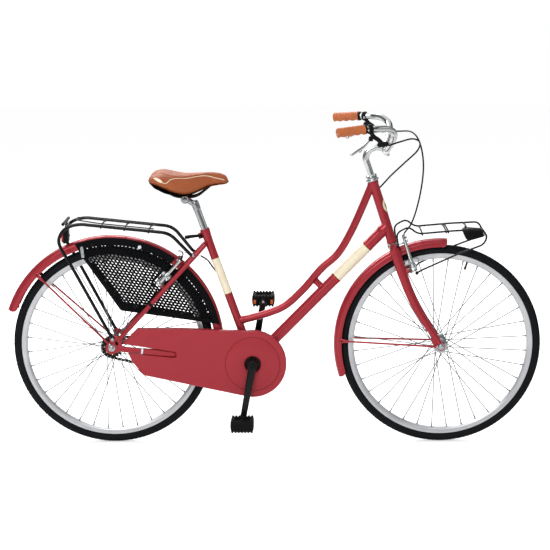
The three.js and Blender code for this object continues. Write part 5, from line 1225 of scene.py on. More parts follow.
def saddle_surface(at, turn, shrink=0.0):
    """The saddle's cover at distances from its back and angles round it: half width, underside and top follow smooth
    lines along it; each section is a cosine across and a sine up, raised to powers below one, with a bell-shaped dip
    along the top's middle, and the ends close as ellipses."""
    table = spline(SADDLE, 300)
    half, low, high = (np.interp(at, table[:, 0], table[:, k]) for k in (1, 2, 3))
    close = np.clip(np.minimum((at + 3) / 12, (273.5 - at) / 10), 0.02, 1)
    close = np.sqrt(1 - (1 - close) ** 2)
    half, middle = (half - shrink) * close, low + (high - low) * 0.42
    low, high = middle + (low - middle) * close, middle + (high - middle) * close
    c, s = np.cos(turn), np.sin(turn)
    wide = softened(c, 0.72)
    up = softened(s, np.where(s > 0, 0.85, 0.6))
    dip = 5.5 * np.exp(-((wide / 0.22) ** 2)) * (s > 0)
    height = middle[:, None] + np.where(up > 0, up * (high - middle)[:, None], up * (middle - low)[:, None])
    height = height - dip * np.clip((half[:, None] - 30) / 60, 0, 1) * np.clip(up, 0, 1)
    y = half[:, None] * wide * np.where(s < 0, 1 - 0.1 * s**2, 1)
    return np.stack([135 + np.broadcast_to(at[:, None], y.shape), y, height], -1)


def saddle_rows(stations, columns, shrink=0.0):
    """The saddle's grid, its stations closer at both ends by a cosine."""
    at = (0.5 - 0.5 * np.cos(np.linspace(0, 1, stations) * math.pi)) * (SADDLE[-1, 0] + 3) - 1
    return saddle_surface(at, np.arange(columns) / columns * TURN, shrink)


def on_cover(cover, spots, out):
    """Places on the finished cover: each spot goes to its nearest point there and then out along the face's normal.
    """
    found = BVHTree.FromObject(cover, bpy.context.evaluated_depsgraph_get())
    hits = [found.find_nearest(Vector((spot + SHIFT) / 1000)) for spot in spots]
    return np.array([(hit[0] + hit[1] * out / 1000) * 1000 for hit in hits]) - SHIFT


def saddle_trim(cover):
    """A raised cream line and a crescent on each side of the saddle, and a stitched seam round its top."""
    parts = []
    for mirror in (False, True):
        def spot(line, count):
            flat = spline(line, count)
            turn = np.radians(180 - flat[:, 1:] if mirror else flat[:, 1:])
            return saddle_surface(flat[:, 0], turn)[:, 0]

        parts.append((tube(on_cover(cover, spot(SIDE_LINE, 110), 0.1), 1.15, 8, ends="round"), "cream_film"))
        top, low = spot(CRESCENT_TOP, 26), spot(CRESCENT_LOW, 26)
        share = np.linspace(0, 1, 7)[:, None, None]
        patch = (top + (low - top) * share).reshape(-1, 3)
        sheet = np.concatenate(
            [on_cover(cover, patch, 0.9).reshape(7, 26, 3), on_cover(cover, patch, -0.6).reshape(7, 26, 3)[::-1]], 0)
        parts.append((skin(sheet, around=False, along=True, capped=False), "cream_film"))
        seam = spot([(16, 112), (45, 118), (80, 122), (120, 120), (165, 112), (215, 108), (250, 106)], 120)
        parts.append((tube(on_cover(cover, seam, -0.2), 0.9, 8, ends="round"), "saddle_leather"))
    return parts


def saddle_pieces():
    """The cover is the saddle's surface; the pan is a smaller one, pressed down under it; the rails are a wire bent
    at its corners."""
    cover = piece(
        "saddle_cover", [(skin(saddle_rows(90, 72, shrink=2)), "saddle_leather")], "saddle_post", ("saddle",),
        sharp=80, rides=False)
    puff(cover)
    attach(cover, "saddle_post")
    piece("saddle_trim", saddle_trim(cover), "saddle_post")
    base = saddle_rows(80, 64, shrink=4)
    behind = np.clip((232 - base[..., 0]) / 40, 0, 1) * np.clip((base[..., 0] - 146) / 14, 0, 1)
    base[..., 2] = np.minimum(base[..., 2] - 1.6, base[..., 2].min(1, keepdims=True) + 1) - 6.5 * behind
    piece("saddle_pan", [(skin(base), "moulded_black")], "saddle_post")
    path = bends(
        [
            (180, -44, 903), (224, -22, 867), (298, -22, 867), (352, -11, 911), (374, 0, 915), (352, 11, 911),
            (298, 22, 867), (224, 22, 867), (180, 44, 903)],
        24, 9, 150)
    piece(
        "saddle_rail_wire", [(tube(path, 3.5, 14), "carrier_enamel")], "saddle_post", ("saddle_rails",)
    )


def puff(cover):
    """The cover's mesh, made even by voxels, swells a little under the cloth's pressure; no point moves further than
    the cap."""
    mesh = cover.data
    remesh = cover.modifiers.new("even", "REMESH")
    remesh.mode = "VOXEL"
    remesh.voxel_size = 0.0045
    deps = bpy.context.evaluated_depsgraph_get()
    even = bpy.data.meshes.new_from_object(cover.evaluated_get(deps))
    cover.modifiers.remove(remesh)
    cover.data = even
    rest = np.zeros(len(even.vertices) * 3, np.float32)
    even.vertices.foreach_get("co", rest)
    cloth = cover.modifiers.new("swell", "CLOTH")
    cloth.settings.use_pressure = True
    cloth.settings.uniform_pressure_force = 4
    cloth.settings.effector_weights.gravity = 0
    cloth.settings.tension_stiffness = 30
    cloth.settings.compression_stiffness = 30
    cloth.point_cache.frame_start, cloth.point_cache.frame_end = 1, 14
    for step in range(1, 15):
        bpy.context.scene.frame_set(step)
    deps = bpy.context.evaluated_depsgraph_get()
    swollen = bpy.data.meshes.new_from_object(cover.evaluated_get(deps))
    cover.modifiers.remove(cloth)
    moved = np.zeros_like(rest)
    swollen.vertices.foreach_get("co", moved)
    rest, moved = rest.reshape(-1, 3), moved.reshape(-1, 3)
    step = moved - rest
    reach = np.linalg.norm(step, axis=1, keepdims=True)
    step *= np.minimum(1, 0.003 / np.maximum(reach, 1e-9))
    even.vertices.foreach_set("co", (rest + step).astype(np.float32).ravel())
    even.update()
    even.polygons.foreach_set("use_smooth", np.ones(len(even.polygons), bool))
    even.materials.clear()
    even.materials.append(FINISH["saddle_leather"])
    bpy.context.scene.frame_set(1)
    smooth = cover.modifiers.new("round", "SUBSURF")
    smooth.levels = smooth.render_levels = 1
    bpy.data.meshes.remove(mesh)
    bpy.data.meshes.remove(swollen)


def seat_post_pieces():
    """The post and clamp are turned profiles with ridges as thin rods; the lever is rings along a smooth line."""
    neck, top = (np.linalg.norm(on_seat(z) - on_seat(644)) for z in (822, 852))
    post = lathe(
        [(0, 0), (12.5, 0), (12.5, 1), (12.5, neck - 4), (11, neck + 3), (11, top), (0, top)], on_seat(644), SEAT_UP,
        48)
    piece("seat_post_chromed", [(post, "chrome_plate")], "saddle_post", ("seat_post",))
    centre = np.array([258, 0, 859])
    parts = [
        (
            lathe(
                [
                    (0, -28), (12.6, -28), (14, -26), (14, -21), (12, -20), (12, 20), (14, 21), (14, 26), (12.6, 28),
                    (0, 28)],
                centre, LEFT, 40),
            "bolt_steel"),
        (
            lathe(
                [(11.4, 0), (13.2, 0), (13.6, 2), (13.6, 22), (12.8, 27), (11.4, 30)], on_seat(822), SEAT_UP, 36,
                closed=True),
            "bolt_steel"),
        (tube(straight(centre, on_seat(838), 12), 10.5, 20), "bolt_steel"),
        (hex_nut(centre + LEFT * 28, LEFT, 9, 8), "bolt_steel"),
        (hex_nut(centre - LEFT * 28, -LEFT, 9, 8), "bolt_steel")]
    for side in (-1, 1):
        ridges = np.arange(22) / 22 * TURN
        spots = centre + LEFT * side * 18 + np.stack([np.cos(ridges), np.zeros(22), np.sin(ridges)], 1) * 14
        parts.append((rods(spots - LEFT * 3, spots + LEFT * 3, 1.1, 6), "bolt_steel"))
    piece("saddle_clamp_cast", parts, "saddle_post", ("saddle_clamp",))
    pivot = on_seat(732) + [-18.63, -11.5, 0]
    end = pivot + [-52, -8, -4]
    blade = spline([pivot, pivot + (end - pivot) * 0.5 + [0, -4, 2], end], 30)
    share = np.linspace(0, 1, 30)
    lever = [
        (tube(blade, 3.2 + 0.8 * share, 18, other=4.2 + 2.4 * share, side=LEFT, ends="round"), "moulded_black"),
        (lathe([(0, -7), (5.2, -7), (6, -6), (6, 6), (5.2, 7), (0, 7)], pivot, SEAT_UP, 24), "moulded_black"),
        (rods(pivot + LEFT * 2, pivot + LEFT * 24, 2.4, 14), "bolt_steel"),
        (hex_nut(pivot + LEFT * 20.5, LEFT, 7.5, 6), "moulded_black"),
    ]
    piece("seat_lever_moulded", lever, "seat_lever", ("seat_quick_release_lever",))


def bar_path(count):
    """The handlebar's line: a smooth line through the clamp and seven places on each side of it."""
    clamp = steer(706, 75)
    half = lambda s: [
        clamp, clamp * [1, 0, 1] + LEFT * s * 46, (962, s * 110, clamp[2] + 35), (964, s * 170.5, clamp[2] + 71.5),
        (942, s * 207, 1115.4), (907, s * 235, 1119), (870, s * 246, 1119), (782.4, s * 284, 1111)]
    return spline([*half(-1)[1:][::-1], *half(1)], count)


def grip_line(side):
    """A grip's rear end and the direction along it to its front."""
    end, front = np.array([780.0, side * 285, 1111]), np.array([870.0, side * 246, 1119])
    return end, unit(front - end)


def handlebar_pieces():
    """The bar is rings along its line; the stem's neck is rings whose radius swells as a bell, and its clamp is a
    turned profile."""
    piece(
        "handlebar_chromed", [(tube(bar_path(260), 11.1, 30, ends="round"), "chrome_plate")], "steering",
        ("handlebar",))
    clamp = steer(706, 75)
    neck = spline([steer(640), steer(668), steer(693.5), steer(714.4, 14), steer(721, 40), steer(710, 67), clamp], 80)
    share = np.linspace(0, 1, 80)
    wide = 11.4 + 1.3 * np.exp(-(((share - 0.55) / 0.25) ** 2))
    parts = [
        (lathe([(0, 524), (11, 524), (11, 650), (0, 650)], STEER_FOOT, STEER_UP, 40), "chrome_plate"),
        (tube(neck, wide, 32, other=wide * (1 - 0.12 * share), side=LEFT), "cast_alloy"),
        (
            lathe(
                [(11.3, -25), (14, -25), (15.6, -23), (16, -18), (16, 18), (15.6, 23), (14, 25), (11.3, 25)], clamp,
                LEFT, 44, closed=True),
            "cast_alloy"),
        (bolt_head(steer(722, -8), unit(steer(30, -18) - steer(0, 0)), 6.4, 5), "bolt_steel"),
        (pebble(clamp - STEER_UP * 16 + STEER_AHEAD * -2, (16, 26, 12), STEER_AHEAD, LEFT, power=0.5), "cast_alloy"),
        (bolt_head(clamp - STEER_UP * 21 + STEER_AHEAD * 2, -STEER_UP, 5, 5), "bolt_steel")]
    piece("stem_cast", parts, "steering", ("stem",))


def grip_pieces():
    """A grip: rings whose radius has fine ribs round the top, four finger hollows below as a raised cosine along it,
    a collar at the front and a round end."""
    for side, hand in HANDS:
        end, way = grip_line(side)
        up = unit(np.cross(np.cross(way, [0, 0, 1.0]), way))
        across = np.cross(way, up)
        share = np.linspace(0, 1, 110)[:, None]
        turn = (np.arange(72) / 72 * TURN)[None]
        under = np.clip(-np.sin(turn), 0, 1) ** 0.8
        over = np.clip(np.sin(turn) + 0.25, 0, 1)
        wave = (1 - np.cos(share * 4 * TURN)) / 2
        body = (share > 0.05) & (share < 0.95)
        radius = 16 - 2.6 * wave * under - 0.5 * over * (np.cos(turn * 24) > 0.2) * body
        close = np.clip(share / 0.05, 0, 1)
        radius = (
            radius * np.sqrt(1 - (1 - close) ** 2) + 1.2 * np.exp(-(((share - 0.97) / 0.02) ** 2))
            + 0.8 * np.exp(-(((share - 0.06) / 0.02) ** 2)))
        centre = end + way * (98 * share - 8)
        grid = centre[:, None, :] if centre.ndim == 2 else centre
        grid = grid + (radius * np.cos(turn))[..., None] * across + (radius * np.sin(turn))[..., None] * up
        ring = lathe([(11.2, 91), (15, 91), (15.6, 92), (15.6, 96), (15, 97), (11.2, 97)], end, way, 36, closed=True)
        piece(
            f"grip_{hand}_moulded", [(skin(grid), "grip_leather"), (ring, "moulded_black")], "steering",
            (f"grip_{hand}",), sharp=60)


def lever_pieces():
    """A brake lever is a flat bent blade that widens to its ball; its bracket is a ring on the bar, a neck, and a
    nose for the cable."""
    for side, hand in HANDS:
        way = grip_line(side)[1]
        clamp = np.array([882.0, side * 241, 1119])
        pivot = np.array([882.0, side * 247, 1085])
        back = -unit(way * [1, 1, 0])
        tip = pivot + back * 79 * math.cos(math.radians(35)) - [0, 0, 79 * math.sin(math.radians(35))]
        knee = pivot + (tip - pivot) * 0.35 - [0, 0, 6]
        path = spline([pivot + unit(knee - pivot) * 5.4, knee, tip], 44)
        share = np.linspace(0, 1, 44)
        blade = tube(
            path, 2.4 + 1.0 * share, 20, other=4.6 + 1.2 * np.sin(share * math.pi), side=np.cross(back, [0, 0, 1.0]),
            ends="round")
        eye = lathe(
            [(2.4, -4.6), (5.4, -4.6), (5.8, -4), (5.8, 4), (5.4, 4.6), (2.4, 4.6)], pivot, LEFT, 24, closed=True)
        ball = pebble(tip, (12.5, 12.5, 12.5), power=0.9)
        piece(f"brake_lever_{hand}_blade", [(blade, "cast_alloy"), (eye, "cast_alloy"), (ball, "cast_alloy")],
              f"lever_{hand}", (f"brake_lever_{hand}",))
        nose = pivot + [42, -side * 10, -17]
        shoulder = pivot + [4, 0, 12]
        body = spline(
            [
                clamp + (pivot - clamp) * 0.45 + [6, 0, 0], shoulder + [8, 0, -2], (shoulder + nose) / 2 + [6, 0, 0],
                nose],
            30)
        parts = [
            (
                lathe(
                    [(11.3, -7), (15, -7), (15.8, -5.6), (15.8, 5.6), (15, 7), (11.3, 7)], clamp, way, 36, closed=True
                ),
                "moulded_black"),
            (tube(body, 9.6, 24, other=7.4, side=LEFT, ends="round"), "moulded_black"),
            (tube(straight(nose - [10, 0, 1], nose + [12, 0, 1.5], 8), 8.6, 24, ends="round"), "moulded_black"),
            (pebble(pivot + [3, 7.4, 3], (14, 2.6, 15), power=0.4), "moulded_black"),
            (pebble(pivot + [3, -7.4, 3], (14, 2.6, 15), power=0.4), "moulded_black"),
            (rods(pivot - LEFT * 8.6, pivot + LEFT * 8.6, 1.9, 12), "bolt_steel"),
            (bolt_head(clamp + [-2, side * -15, -4], LEFT * -side, 4.4, 3.5), "bolt_steel")]
        out = unit(np.array([1, -side * 0.35, 0.12]))
        barrel = [(0, 0), (4.6, 0), (4.6, 3), (5.6, 3.4), (5.6, 8), (4.4, 8.6), (3.9, 9), (3.9, 15), (0, 15)]
        parts.append((lathe(barrel, nose + out * 12, out, 20), "chrome_plate"))
        piece(f"brake_perch_{hand}_cast", parts, "steering", (f"brake_perch_{hand}",))


def brake_pieces():
    """Each brake arm is a flat forged bar from its eye to the cable's end, with a shoe on a threaded post and a coil
    spring at the pivot."""
    for end, low_place, above, reach, pad_side in (
        ("front", on_fork, 25, FRONT_REACH, 19.9), ("rear", on_stay, 34, 0.0, 20.5)):
        out = low_place(0, 1, 0) - low_place(0, 0, 0)

        def place(along, ahead, across):
            return low_place(along, ahead + reach, across)

        for side, hand in HANDS:
            eye_at = place(0, 20, side * 42)
            path = spline(
                [
                    place(0, 27, side * 42), place(30, 28, side * 41.6), place(49, 27, side * 40),
                    place(80, 27, side * 39.6), place(106, 27, side * 39.5)],
                50)
            share = np.linspace(0, 1, 50)
            arm = tube(path, 5.2 - 1.2 * share, 20, other=7.2 - 2.2 * share, side=LEFT, ends="round")
            eye = lathe([(5.7, 0), (7.8, 0), (8.4, 1), (8.4, 13), (7.8, 14), (5.7, 14)], eye_at, out, 30, closed=True)
            pad_at = place(above, 27, side * pad_side)
            shoe = pebble(pad_at, (52, 6.4, 11), out, LEFT, power=0.3)
            block = pebble(pad_at - LEFT * side * 2.4, (48, 4.0, 9.6), out, LEFT, power=0.25)
            post = rods(pad_at + LEFT * side * 2, place(above, 27, side * 52), 2.8, 14)
            nut = hex_nut(place(above, 27, side * 46.4), LEFT * side, 6, 4.6)
            turn = np.linspace(0, 3.5 * TURN, 70)
            a = unit(np.cross(out, LEFT))
            coil = (
                place(0, 0, side * 42) + out * (13 + turn[:, None] * 0.27)
                + 9.6 * (np.cos(turn)[:, None] * a + np.sin(turn)[:, None] * LEFT))
            tail = np.vstack([coil, place(40, 17, side * 47)])
            parts = [
                (arm, "cast_alloy"), (eye, "cast_alloy"), (shoe, "cast_alloy"), (block, "pad_rubber"),
                (post, "bolt_steel"), (nut, "bolt_steel"), (tube(spline(tail, 120), 0.9, 6), "spoke_steel"),
                (
                    lathe([(0, 0), (5, 0), (5.4, 1), (5.4, 6), (4, 7), (0, 7)], place(103, 31, side * 39.5), out, 20),
                    "bolt_steel")]
            piece(
                f"{end}_brake_arm_{hand}_forged", parts, f"{end}_arm_{hand}", (f"{end}_brake_arm_{hand}",))


# The front brake's housing from its perch to the pipe at the brake.
FRONT_CABLE = [
    (941, 232, 1063), (1000, 205, 1068), (1044, 130, 1071), (1066, 66, 1041), (1076, 20, 970), (1063, -10, 870),
    (1034, -24, 775)]


def ferrule(at, way, radius=3.1, length=9):
    """A cable's end cap, a turned profile."""
    return lathe([(0, 0), (radius, 0), (radius, length), (radius * 0.8, length + 1), (0, length + 1)], at, way, 16)


def cable_end(place, out, way):
    """The bare cable between a brake's arms, and the sleeve on it whose radius is waved by a cosine along its length.
    """
    def spot(side):
        return place(110.6, out, side * way)

    waves = 3.2 + 0.9 * np.cos(np.linspace(0, 12 * TURN, 60))
    return [
        (rods(spot(-39.5), spot(39.5), 0.9, 8), "spoke_steel"),
        (tube(straight(spot(-30), spot(30), 60), waves, 14), "pad_rubber")]


def cable_pieces():
    """Each housing is rings along a smooth line through its places; a bent pipe and a sleeve end it at the brake."""
    swan = swan_path(200) + LEFT * 16
    up_tube = [on_seat(z) + LEFT * 17.4 for z in (452, 500, 560)]
    line = spline(
        [
            (944, -232, 1064), (985, -190, 1072), (1030, -130, 1075), (1056, -80, 1058), (1052, -35, 1026),
            (1012, -4, 982), (965, 19, 934), (926, 23, 892), (893, 19, 868),
            *swan[[178, 160, 140, 120, 95, 70, 45, 24, 8]], *up_tube, (352, 17, 612), (330, 14, 643), (308, 5, 659)],
        420)
    noodle = np.array([
        on_stay(a, o, s) for a, o, s in ((121, 50, 12), (123, 42, 28), (117, 29, 39.5), (109, 28, 39.5))])
    parts = [
        (tube(line, 2.8, 12), "cable_sheath"), (tube(straight(line[-1], noodle[0], 20), 0.9, 8), "spoke_steel"),
        (tube(spline(noodle, 40), 2.5, 14), "bolt_steel"),
        (ferrule(line[-10], unit(line[-1] - line[-10])), "bolt_steel"), *cable_end(on_stay, 27, -1)]
    for at in (205, 240, 280):
        way = unit(line[at + 1] - line[at - 1])
        parts.append((
            lathe([(2.4, -3), (3.6, -3), (3.6, 3), (2.4, 3)], line[at], way, 16, closed=True), "moulded_black"))
    made = piece("rear_cable_housing", parts, None, ("rear_brake_cable",), rides=False)
    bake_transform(made)
    noodle = np.array([
        on_fork(a, o, s) for a, o,
        s in ((130, 33 + FRONT_REACH, -39), (119, 28 + FRONT_REACH, -39.5), (108.9, 27 + FRONT_REACH, -39.5))])
    line = spline([*FRONT_CABLE, noodle[0]], 300)
    parts = [
        (tube(line, 2.8, 12), "cable_sheath"), (tube(spline(noodle, 24), 3.0, 14), "bolt_steel"),
        *cable_end(on_fork, 27 + FRONT_REACH, 1),
    ]
    piece("front_cable_housing", parts, "steering", ("front_brake_cable",))


def rear_carrier_pieces():
    """The rear carrier: pipes along lines with rounded corners, with cross wires, springs, feet and a plate."""
    slope = (796 - 752) / (207 + 213)

    def top(x):
        return 752 + (207 - x) * slope

    parts = []
    for side in (-1, 1):
        front = bends([(275, side * 50, 674), (207, side * 78, 752), (120, side * 78, top(120))], 30, 12)
        turned = [
            (-60, 780), (-98, 783), (-131, 776.5), (-153, 763.5), (-166, 746), (-171.5, 725), (-166, 703),
            (-135, 646.5), (-115.7, 610)]
        rear = [(x, side * (78 if z > 760 else 71 + 7 * (z - 381) / 379), z) for x, z in turned]
        path = spaced(
            np.vstack([
                front, spline([(20, side * 78, top(20)), *rear, (-60, side * 72.7, 503.4)], 120),
                [(4, side * 71, 381)]]),
            220)
        parts.append(tube(path, 5.8, 22))
        foot = np.array([4.0, side * 71, 381])
        parts.append(pebble(foot + [0, 0, 3], (12, 4, 20), (1, 0, 0.3), LEFT, power=0.5))
        parts.append((hex_nut(foot + LEFT * side * 1.6, LEFT * side, 6.4, 4.5), "bolt_steel"))
        head = np.array([275.0, side * 50, 674])
        tab = straight(head, head + [14, -side * 11, -9], 10)
        parts.append(tube(tab, 2.2, 14, other=6, side=LEFT, ends="round"))
        parts.append((bolt_head(head + [10, side * -4, -6], LEFT * side, 5, 4), "bolt_steel"))
    for x in (135, 53, -27):
        wire = bends([(x, -78, top(x) - 6), (x, -72, top(x)), (x, 72, top(x)), (x, 78, top(x) - 6)], 6, 4, 24)
        parts.append(tube(wire, 3, 12, ends="round"))
    for side in (-1, 1):
        spring = bends(
            [
                (150, side * 46, top(150) + 4), (-40, side * 46, top(-40) + 4), (-118, side * 30, top(-118) + 6),
                (-118, 0, top(-118) + 6)],
            26, 6, 50)
        parts.append(tube(spring, 2.2, 12, ends="round"))
    parts.append(rods((-156, -76, top(-156) - 7), (-156, 76, top(-156) - 7), 5.5, 20))
    parts.append(pebble((-156, 0, 768), (4, 24, 34), power=0.25))
    parts.append((hex_nut(np.array([-153.6, 0, 776]), (1, 0, 0), 7, 6), "bolt_steel"))
    piece("rear_carrier_tubes", parts, "frame", ("rear_rack",), coat="carrier_enamel")


def front_carrier_pieces():
    """The front carrier: one wire along a line with rounded corners round both sides, with cross wires bent down at
    their ends."""
    line = [
        (985, 80, 708), (980, 84, 750), (1020, 86, 772), (1052, 86, 747), (1171, 86, 757), (1272, 86, 762),
        (1288, 86, 735), (1274, 86, 709), (1190, 86, 678), (1062, 70, 617), (1052, 52, 606)]
    near = [(x, -y, z) for x, y, z in line]
    path = bends([*near[::-1], steer(374, 17.2, -50), steer(374, 17.2, 50), *line], 16, 7, 420)
    parts = [tube(path, 3.1, 14, ends="round")]
    for x, z in ((1067, 748.5), (1148, 755.5), (1155, 756), (1222, 760.5), (1285, 741)):
        wire = bends([(x, -86, z - 5), (x, -82, z), (x, 82, z), (x, 86, z - 5)], 5, 4, 24)
        parts.append(tube(wire, 2.8, 10, ends="round"))
    parts.append(pebble((1221, 0, 757), (8, 10, 8), power=0.3))
    for side in (-1, 1):
        parts.append(lathe([(0, -4), (6, -4), (6, 4), (0, 4)], np.array([1052.0, side * 52, 606]), LEFT, 20))
    piece("front_carrier_wires", parts, "steering", ("front_rack",), coat="carrier_enamel")


def rounded_box(outline, edges):
    """A box of one outline: at each half width, on both sides, the outline moved inwards by its number."""
    both = [(-y, inward) for y, inward in edges[::-1]] + list(edges)
    return skin(np.stack([upright(inset(outline, inward), y) for y, inward in both]))


def lamp_pieces():
    """A lamp's shell is its side outline moved inwards by turns at each width; lenses and fins are rounded blocks."""
    low, high = 716, 754
    outline = np.array([(1209, high - 7), (1219, high), (1277, high - 4), (1285, 727), (1235, low - 3), (1222, low)])
    outline = even_loop(outline, 73)
    soft = np.array([np.roll(outline, k, 0) for k in range(-2, 3)]).mean(0)
    shell = rounded_box(soft, ((22, 0), (25.6, 0.8), (27.4, 2.6), (28, 5)))
    fins = [pebble((1240, 0, 727 + 5.2 * k), (46, 57.2, 1.2), (1, 0, -0.05), LEFT, power=0.3) for k in range(5)]
    piece("headlamp_shell", [shell, *fins], "steering", ("headlamp_housing",), coat="moulded_black")
    glass = pebble(np.array([1281.4, 0, 738]), (5, 50, 23), (1, 0, 0.35), LEFT, power=0.35)
    piece("headlamp_glass", [(glass, "clear_lens")], "steering", ("headlamp_lens",))
    outline = np.array([(-165, 708), (-150, 708), (-147, 714), (-147, 758), (-161, 758), (-165, 752)], float)
    outline = even_loop(outline, 61)
    shell = rounded_box(outline, ((20, 0), (22.6, 0.8), (24, 3)))
    piece(
        "tail_light_shell",
        [(shell, "moulded_black"), (hex_nut(np.array([-147.2, 0, 733]), (1, 0, 0), 6, 4), "bolt_steel")], "frame",
        ("tail_light_housing",))
    piece(
        "tail_light_glass", [(pebble((-167.2, 0, 731), (7.4, 46, 40), power=0.3), "red_lens")], "frame",
        ("tail_light_lens",))


# The place of the opening from which the guards' lattice is counted.
NET_START = np.array([100.0, 560.0])


def guard_pieces(sizes):
    """A skirt guard: a flat sheet whose openings are slanted ovals on a skewed lattice; each small triangle is kept
    unless its middle, taken to its nearest lattice point, lies in that oval."""
    arc = circle(0, WHEEL_RADIUS, 380.5, 60, math.radians(109), math.radians(11))
    corners = bends(
        [(*arc[-1], 0), (367, 425, 0), (30, 474, 0), (-95, 656, 0), (-122, 705, 0), (*arc[0], 0)], 6, 5)[:, :2]
    outline = np.vstack([arc[1:-1], corners])
    outline = even_loop(outline, 360)
    edge = inset(outline, 13.0) - [0, 348]
    edge = edge * np.minimum(1, 356.5 / np.linalg.norm(edge, axis=1, keepdims=True)) + [0, 348]
    low, high = on_stay(-16, 27, 0), on_stay(124, 27, 0)
    across = unit(np.cross(LEFT, high - low)) * 17
    notch = np.array([low + across, high + across, high - across, low - across])[:, [0, 2]]
    brim = np.array([
        low - STAY_WAY * 6 + across * 1.35, high + STAY_WAY * 6 + across * 1.35, high + STAY_WAY * 6 - across * 1.35,
        low - STAY_WAY * 6 - across * 1.35])[:, [0, 2]]
    step = np.array([[0.986, -0.164], [-0.521, -0.853]]) * [[sizes.guard_pitch_long], [sizes.guard_pitch_wide]]
    back = np.linalg.inv(step)
    tilt = math.radians(-42)
    long_half, wide_half = sizes.guard_hole_long / 2, sizes.guard_hole_wide / 2
    ways = np.array([[math.cos(tilt), math.sin(tilt)], [-math.sin(tilt), math.cos(tilt)]])
    n = 60
    i, j = np.meshgrid(np.arange(-n, n), np.arange(-n, n), indexing="ij")
    centres = NET_START + i.reshape(-1, 1) * step[0] + j.reshape(-1, 1) * step[1]
    near = inside(centres, inset(outline, -6)) & ~inside(centres, notch)
    centres = centres[near]
    turn = np.arange(10) / 10 * TURN
    oval = (np.cos(turn)[:, None] * long_half) * ways[0] + (np.sin(turn)[:, None] * wide_half) * ways[1]
    ovals = [c + oval for c in centres]

    def kept(middle):
        cell = (middle - NET_START) @ back
        base = np.floor(cell)
        open_here = np.zeros(len(middle), bool)
        for a in (0, 1):
            for b in (0, 1):
                spot = NET_START + (base + [a, b]) @ step
                off = middle - spot
                u, v = off @ ways[0] / long_half, off @ ways[1] / wide_half
                open_here |= u**2 + v**2 < 0.93
        solid = ~inside(middle, edge) | inside(middle, brim)
        return inside(middle, outline) & ~inside(middle, notch) & (solid | ~open_here)

    cut = inside(edge, brim)
    start = int(np.argmax(cut & ~np.roll(cut, 1)))
    hem = np.roll(edge, -start, 0)[~np.roll(cut, -start)]

    for side, hand in HANDS:
        y = side * 29.5
        sheet = plate([outline, edge, notch, brim, *ovals], y - 0.8, y + 0.8, kept)
        parts = [(sheet, "net_plastic"), (tube(upright(hem, y + side * 0.9), 1.5, 8, ends="round"), "net_plastic")]
        for angle in (100, 74, 20):
            parts.append((
                lathe(
                    [(0, 26.4), (5, 26.4), (5, 30.2), (6.4, 30.4), (6, 32), (0, 32.4)], REAR + ray_at(angle) * 362,
                    LEFT * side, 20),
                "reflector_band" if angle == 74 else "moulded_black"))
        strap = REAR + ray_at(106.5) * 345
        parts.append((pebble(strap + LEFT * side * 30.8, (11, 2.2, 38), (1, 0, 0.1), LEFT, power=0.3), "bolt_steel"))
        piece(f"skirt_guard_{hand}_net", parts, "frame", (f"skirt_guard_{hand}",), sharp=45)


# The stage

def shades(new, ends, stops, blue):
    """A ramp of greys: its two end colours, and stops of a place and a level, a little bluer by the last number."""
    ramp = new("ShaderNodeValToRGB")
    scale = ramp.color_ramp.elements
    for end, colour in zip(scale, ends):
        end.color = (*colour, 1)
    for at, level in stops:
        scale.new(at).color = (level, level, level * blue, 1)
    return ramp


def world_light(strength):
    """A plain studio: a broad even light on the object, and white for the camera. What gloss shows is one ramp by
    height times one by the side, with two dark uprights."""
    world = bpy.data.worlds.new("studio")
    bpy.context.scene.world = world
    world.use_nodes = True
    tree = world.node_tree
    new = tree.nodes.new
    tree.nodes.clear()
    out, path, where, split = (
        new("ShaderNode" + kind) for kind in ("OutputWorld", "LightPath", "TexCoord", "SeparateXYZ"))
    seen, lit, shine = (new("ShaderNodeBackground") for _ in range(3))
    put(seen, {"Strength": 1.0, "Color": (1, 1, 1, 1)})
    put(lit, {"Strength": strength, "Color": (1, 1, 1, 1)})
    height = shades(
        new, ((0.42, 0.42, 0.43), (1, 1, 1)), ((0.46, 0.62), (0.54, 0.28), (0.62, 0.5), (0.74, 0.98)), 1.01)
    uprights = shades(
        new, ((0.75, 0.75, 0.76), (0.9, 0.9, 0.9)),
        ((0.07, 0.12), (0.16, 0.14), (0.24, 1.0), (0.5, 1.0), (0.66, 0.9), (0.74, 0.1), (0.84, 0.16), (0.9, 0.9)),
        1.02)
    tilt, turned = (put(new("ShaderNodeMapRange"), {"From Min": -1}) for _ in range(2))
    both_ways = put(new("ShaderNodeMix"), {0: 1}, data_type="RGBA", blend_type="MULTIPLY")
    first, second = new("ShaderNodeMixShader"), new("ShaderNodeMixShader")
    white = put(new("ShaderNodeMath"), {}, operation="MAXIMUM")
    wire(tree, (where, "Generated", split, "Vector"), (split, "Z", tilt, "Value"), (tilt, "Result", height, "Fac"),
         (split, "X", turned, "Value"), (turned, "Result", uprights, "Fac"),
         (height, "Color", both_ways, 6), (uprights, "Color", both_ways, 7), (both_ways, 2, shine, "Color"),
         (path, "Is Glossy Ray", first, "Fac"), (lit, "Background", first, 1), (shine, "Background", first, 2),
         (path, "Is Camera Ray", white, 0), (path, "Is Transmission Ray", white, 1), (white, "Value", second, "Fac"),
         (first, "Shader", second, 1), (seen, "Background", second, 2), (second, "Shader", out, "Surface"))


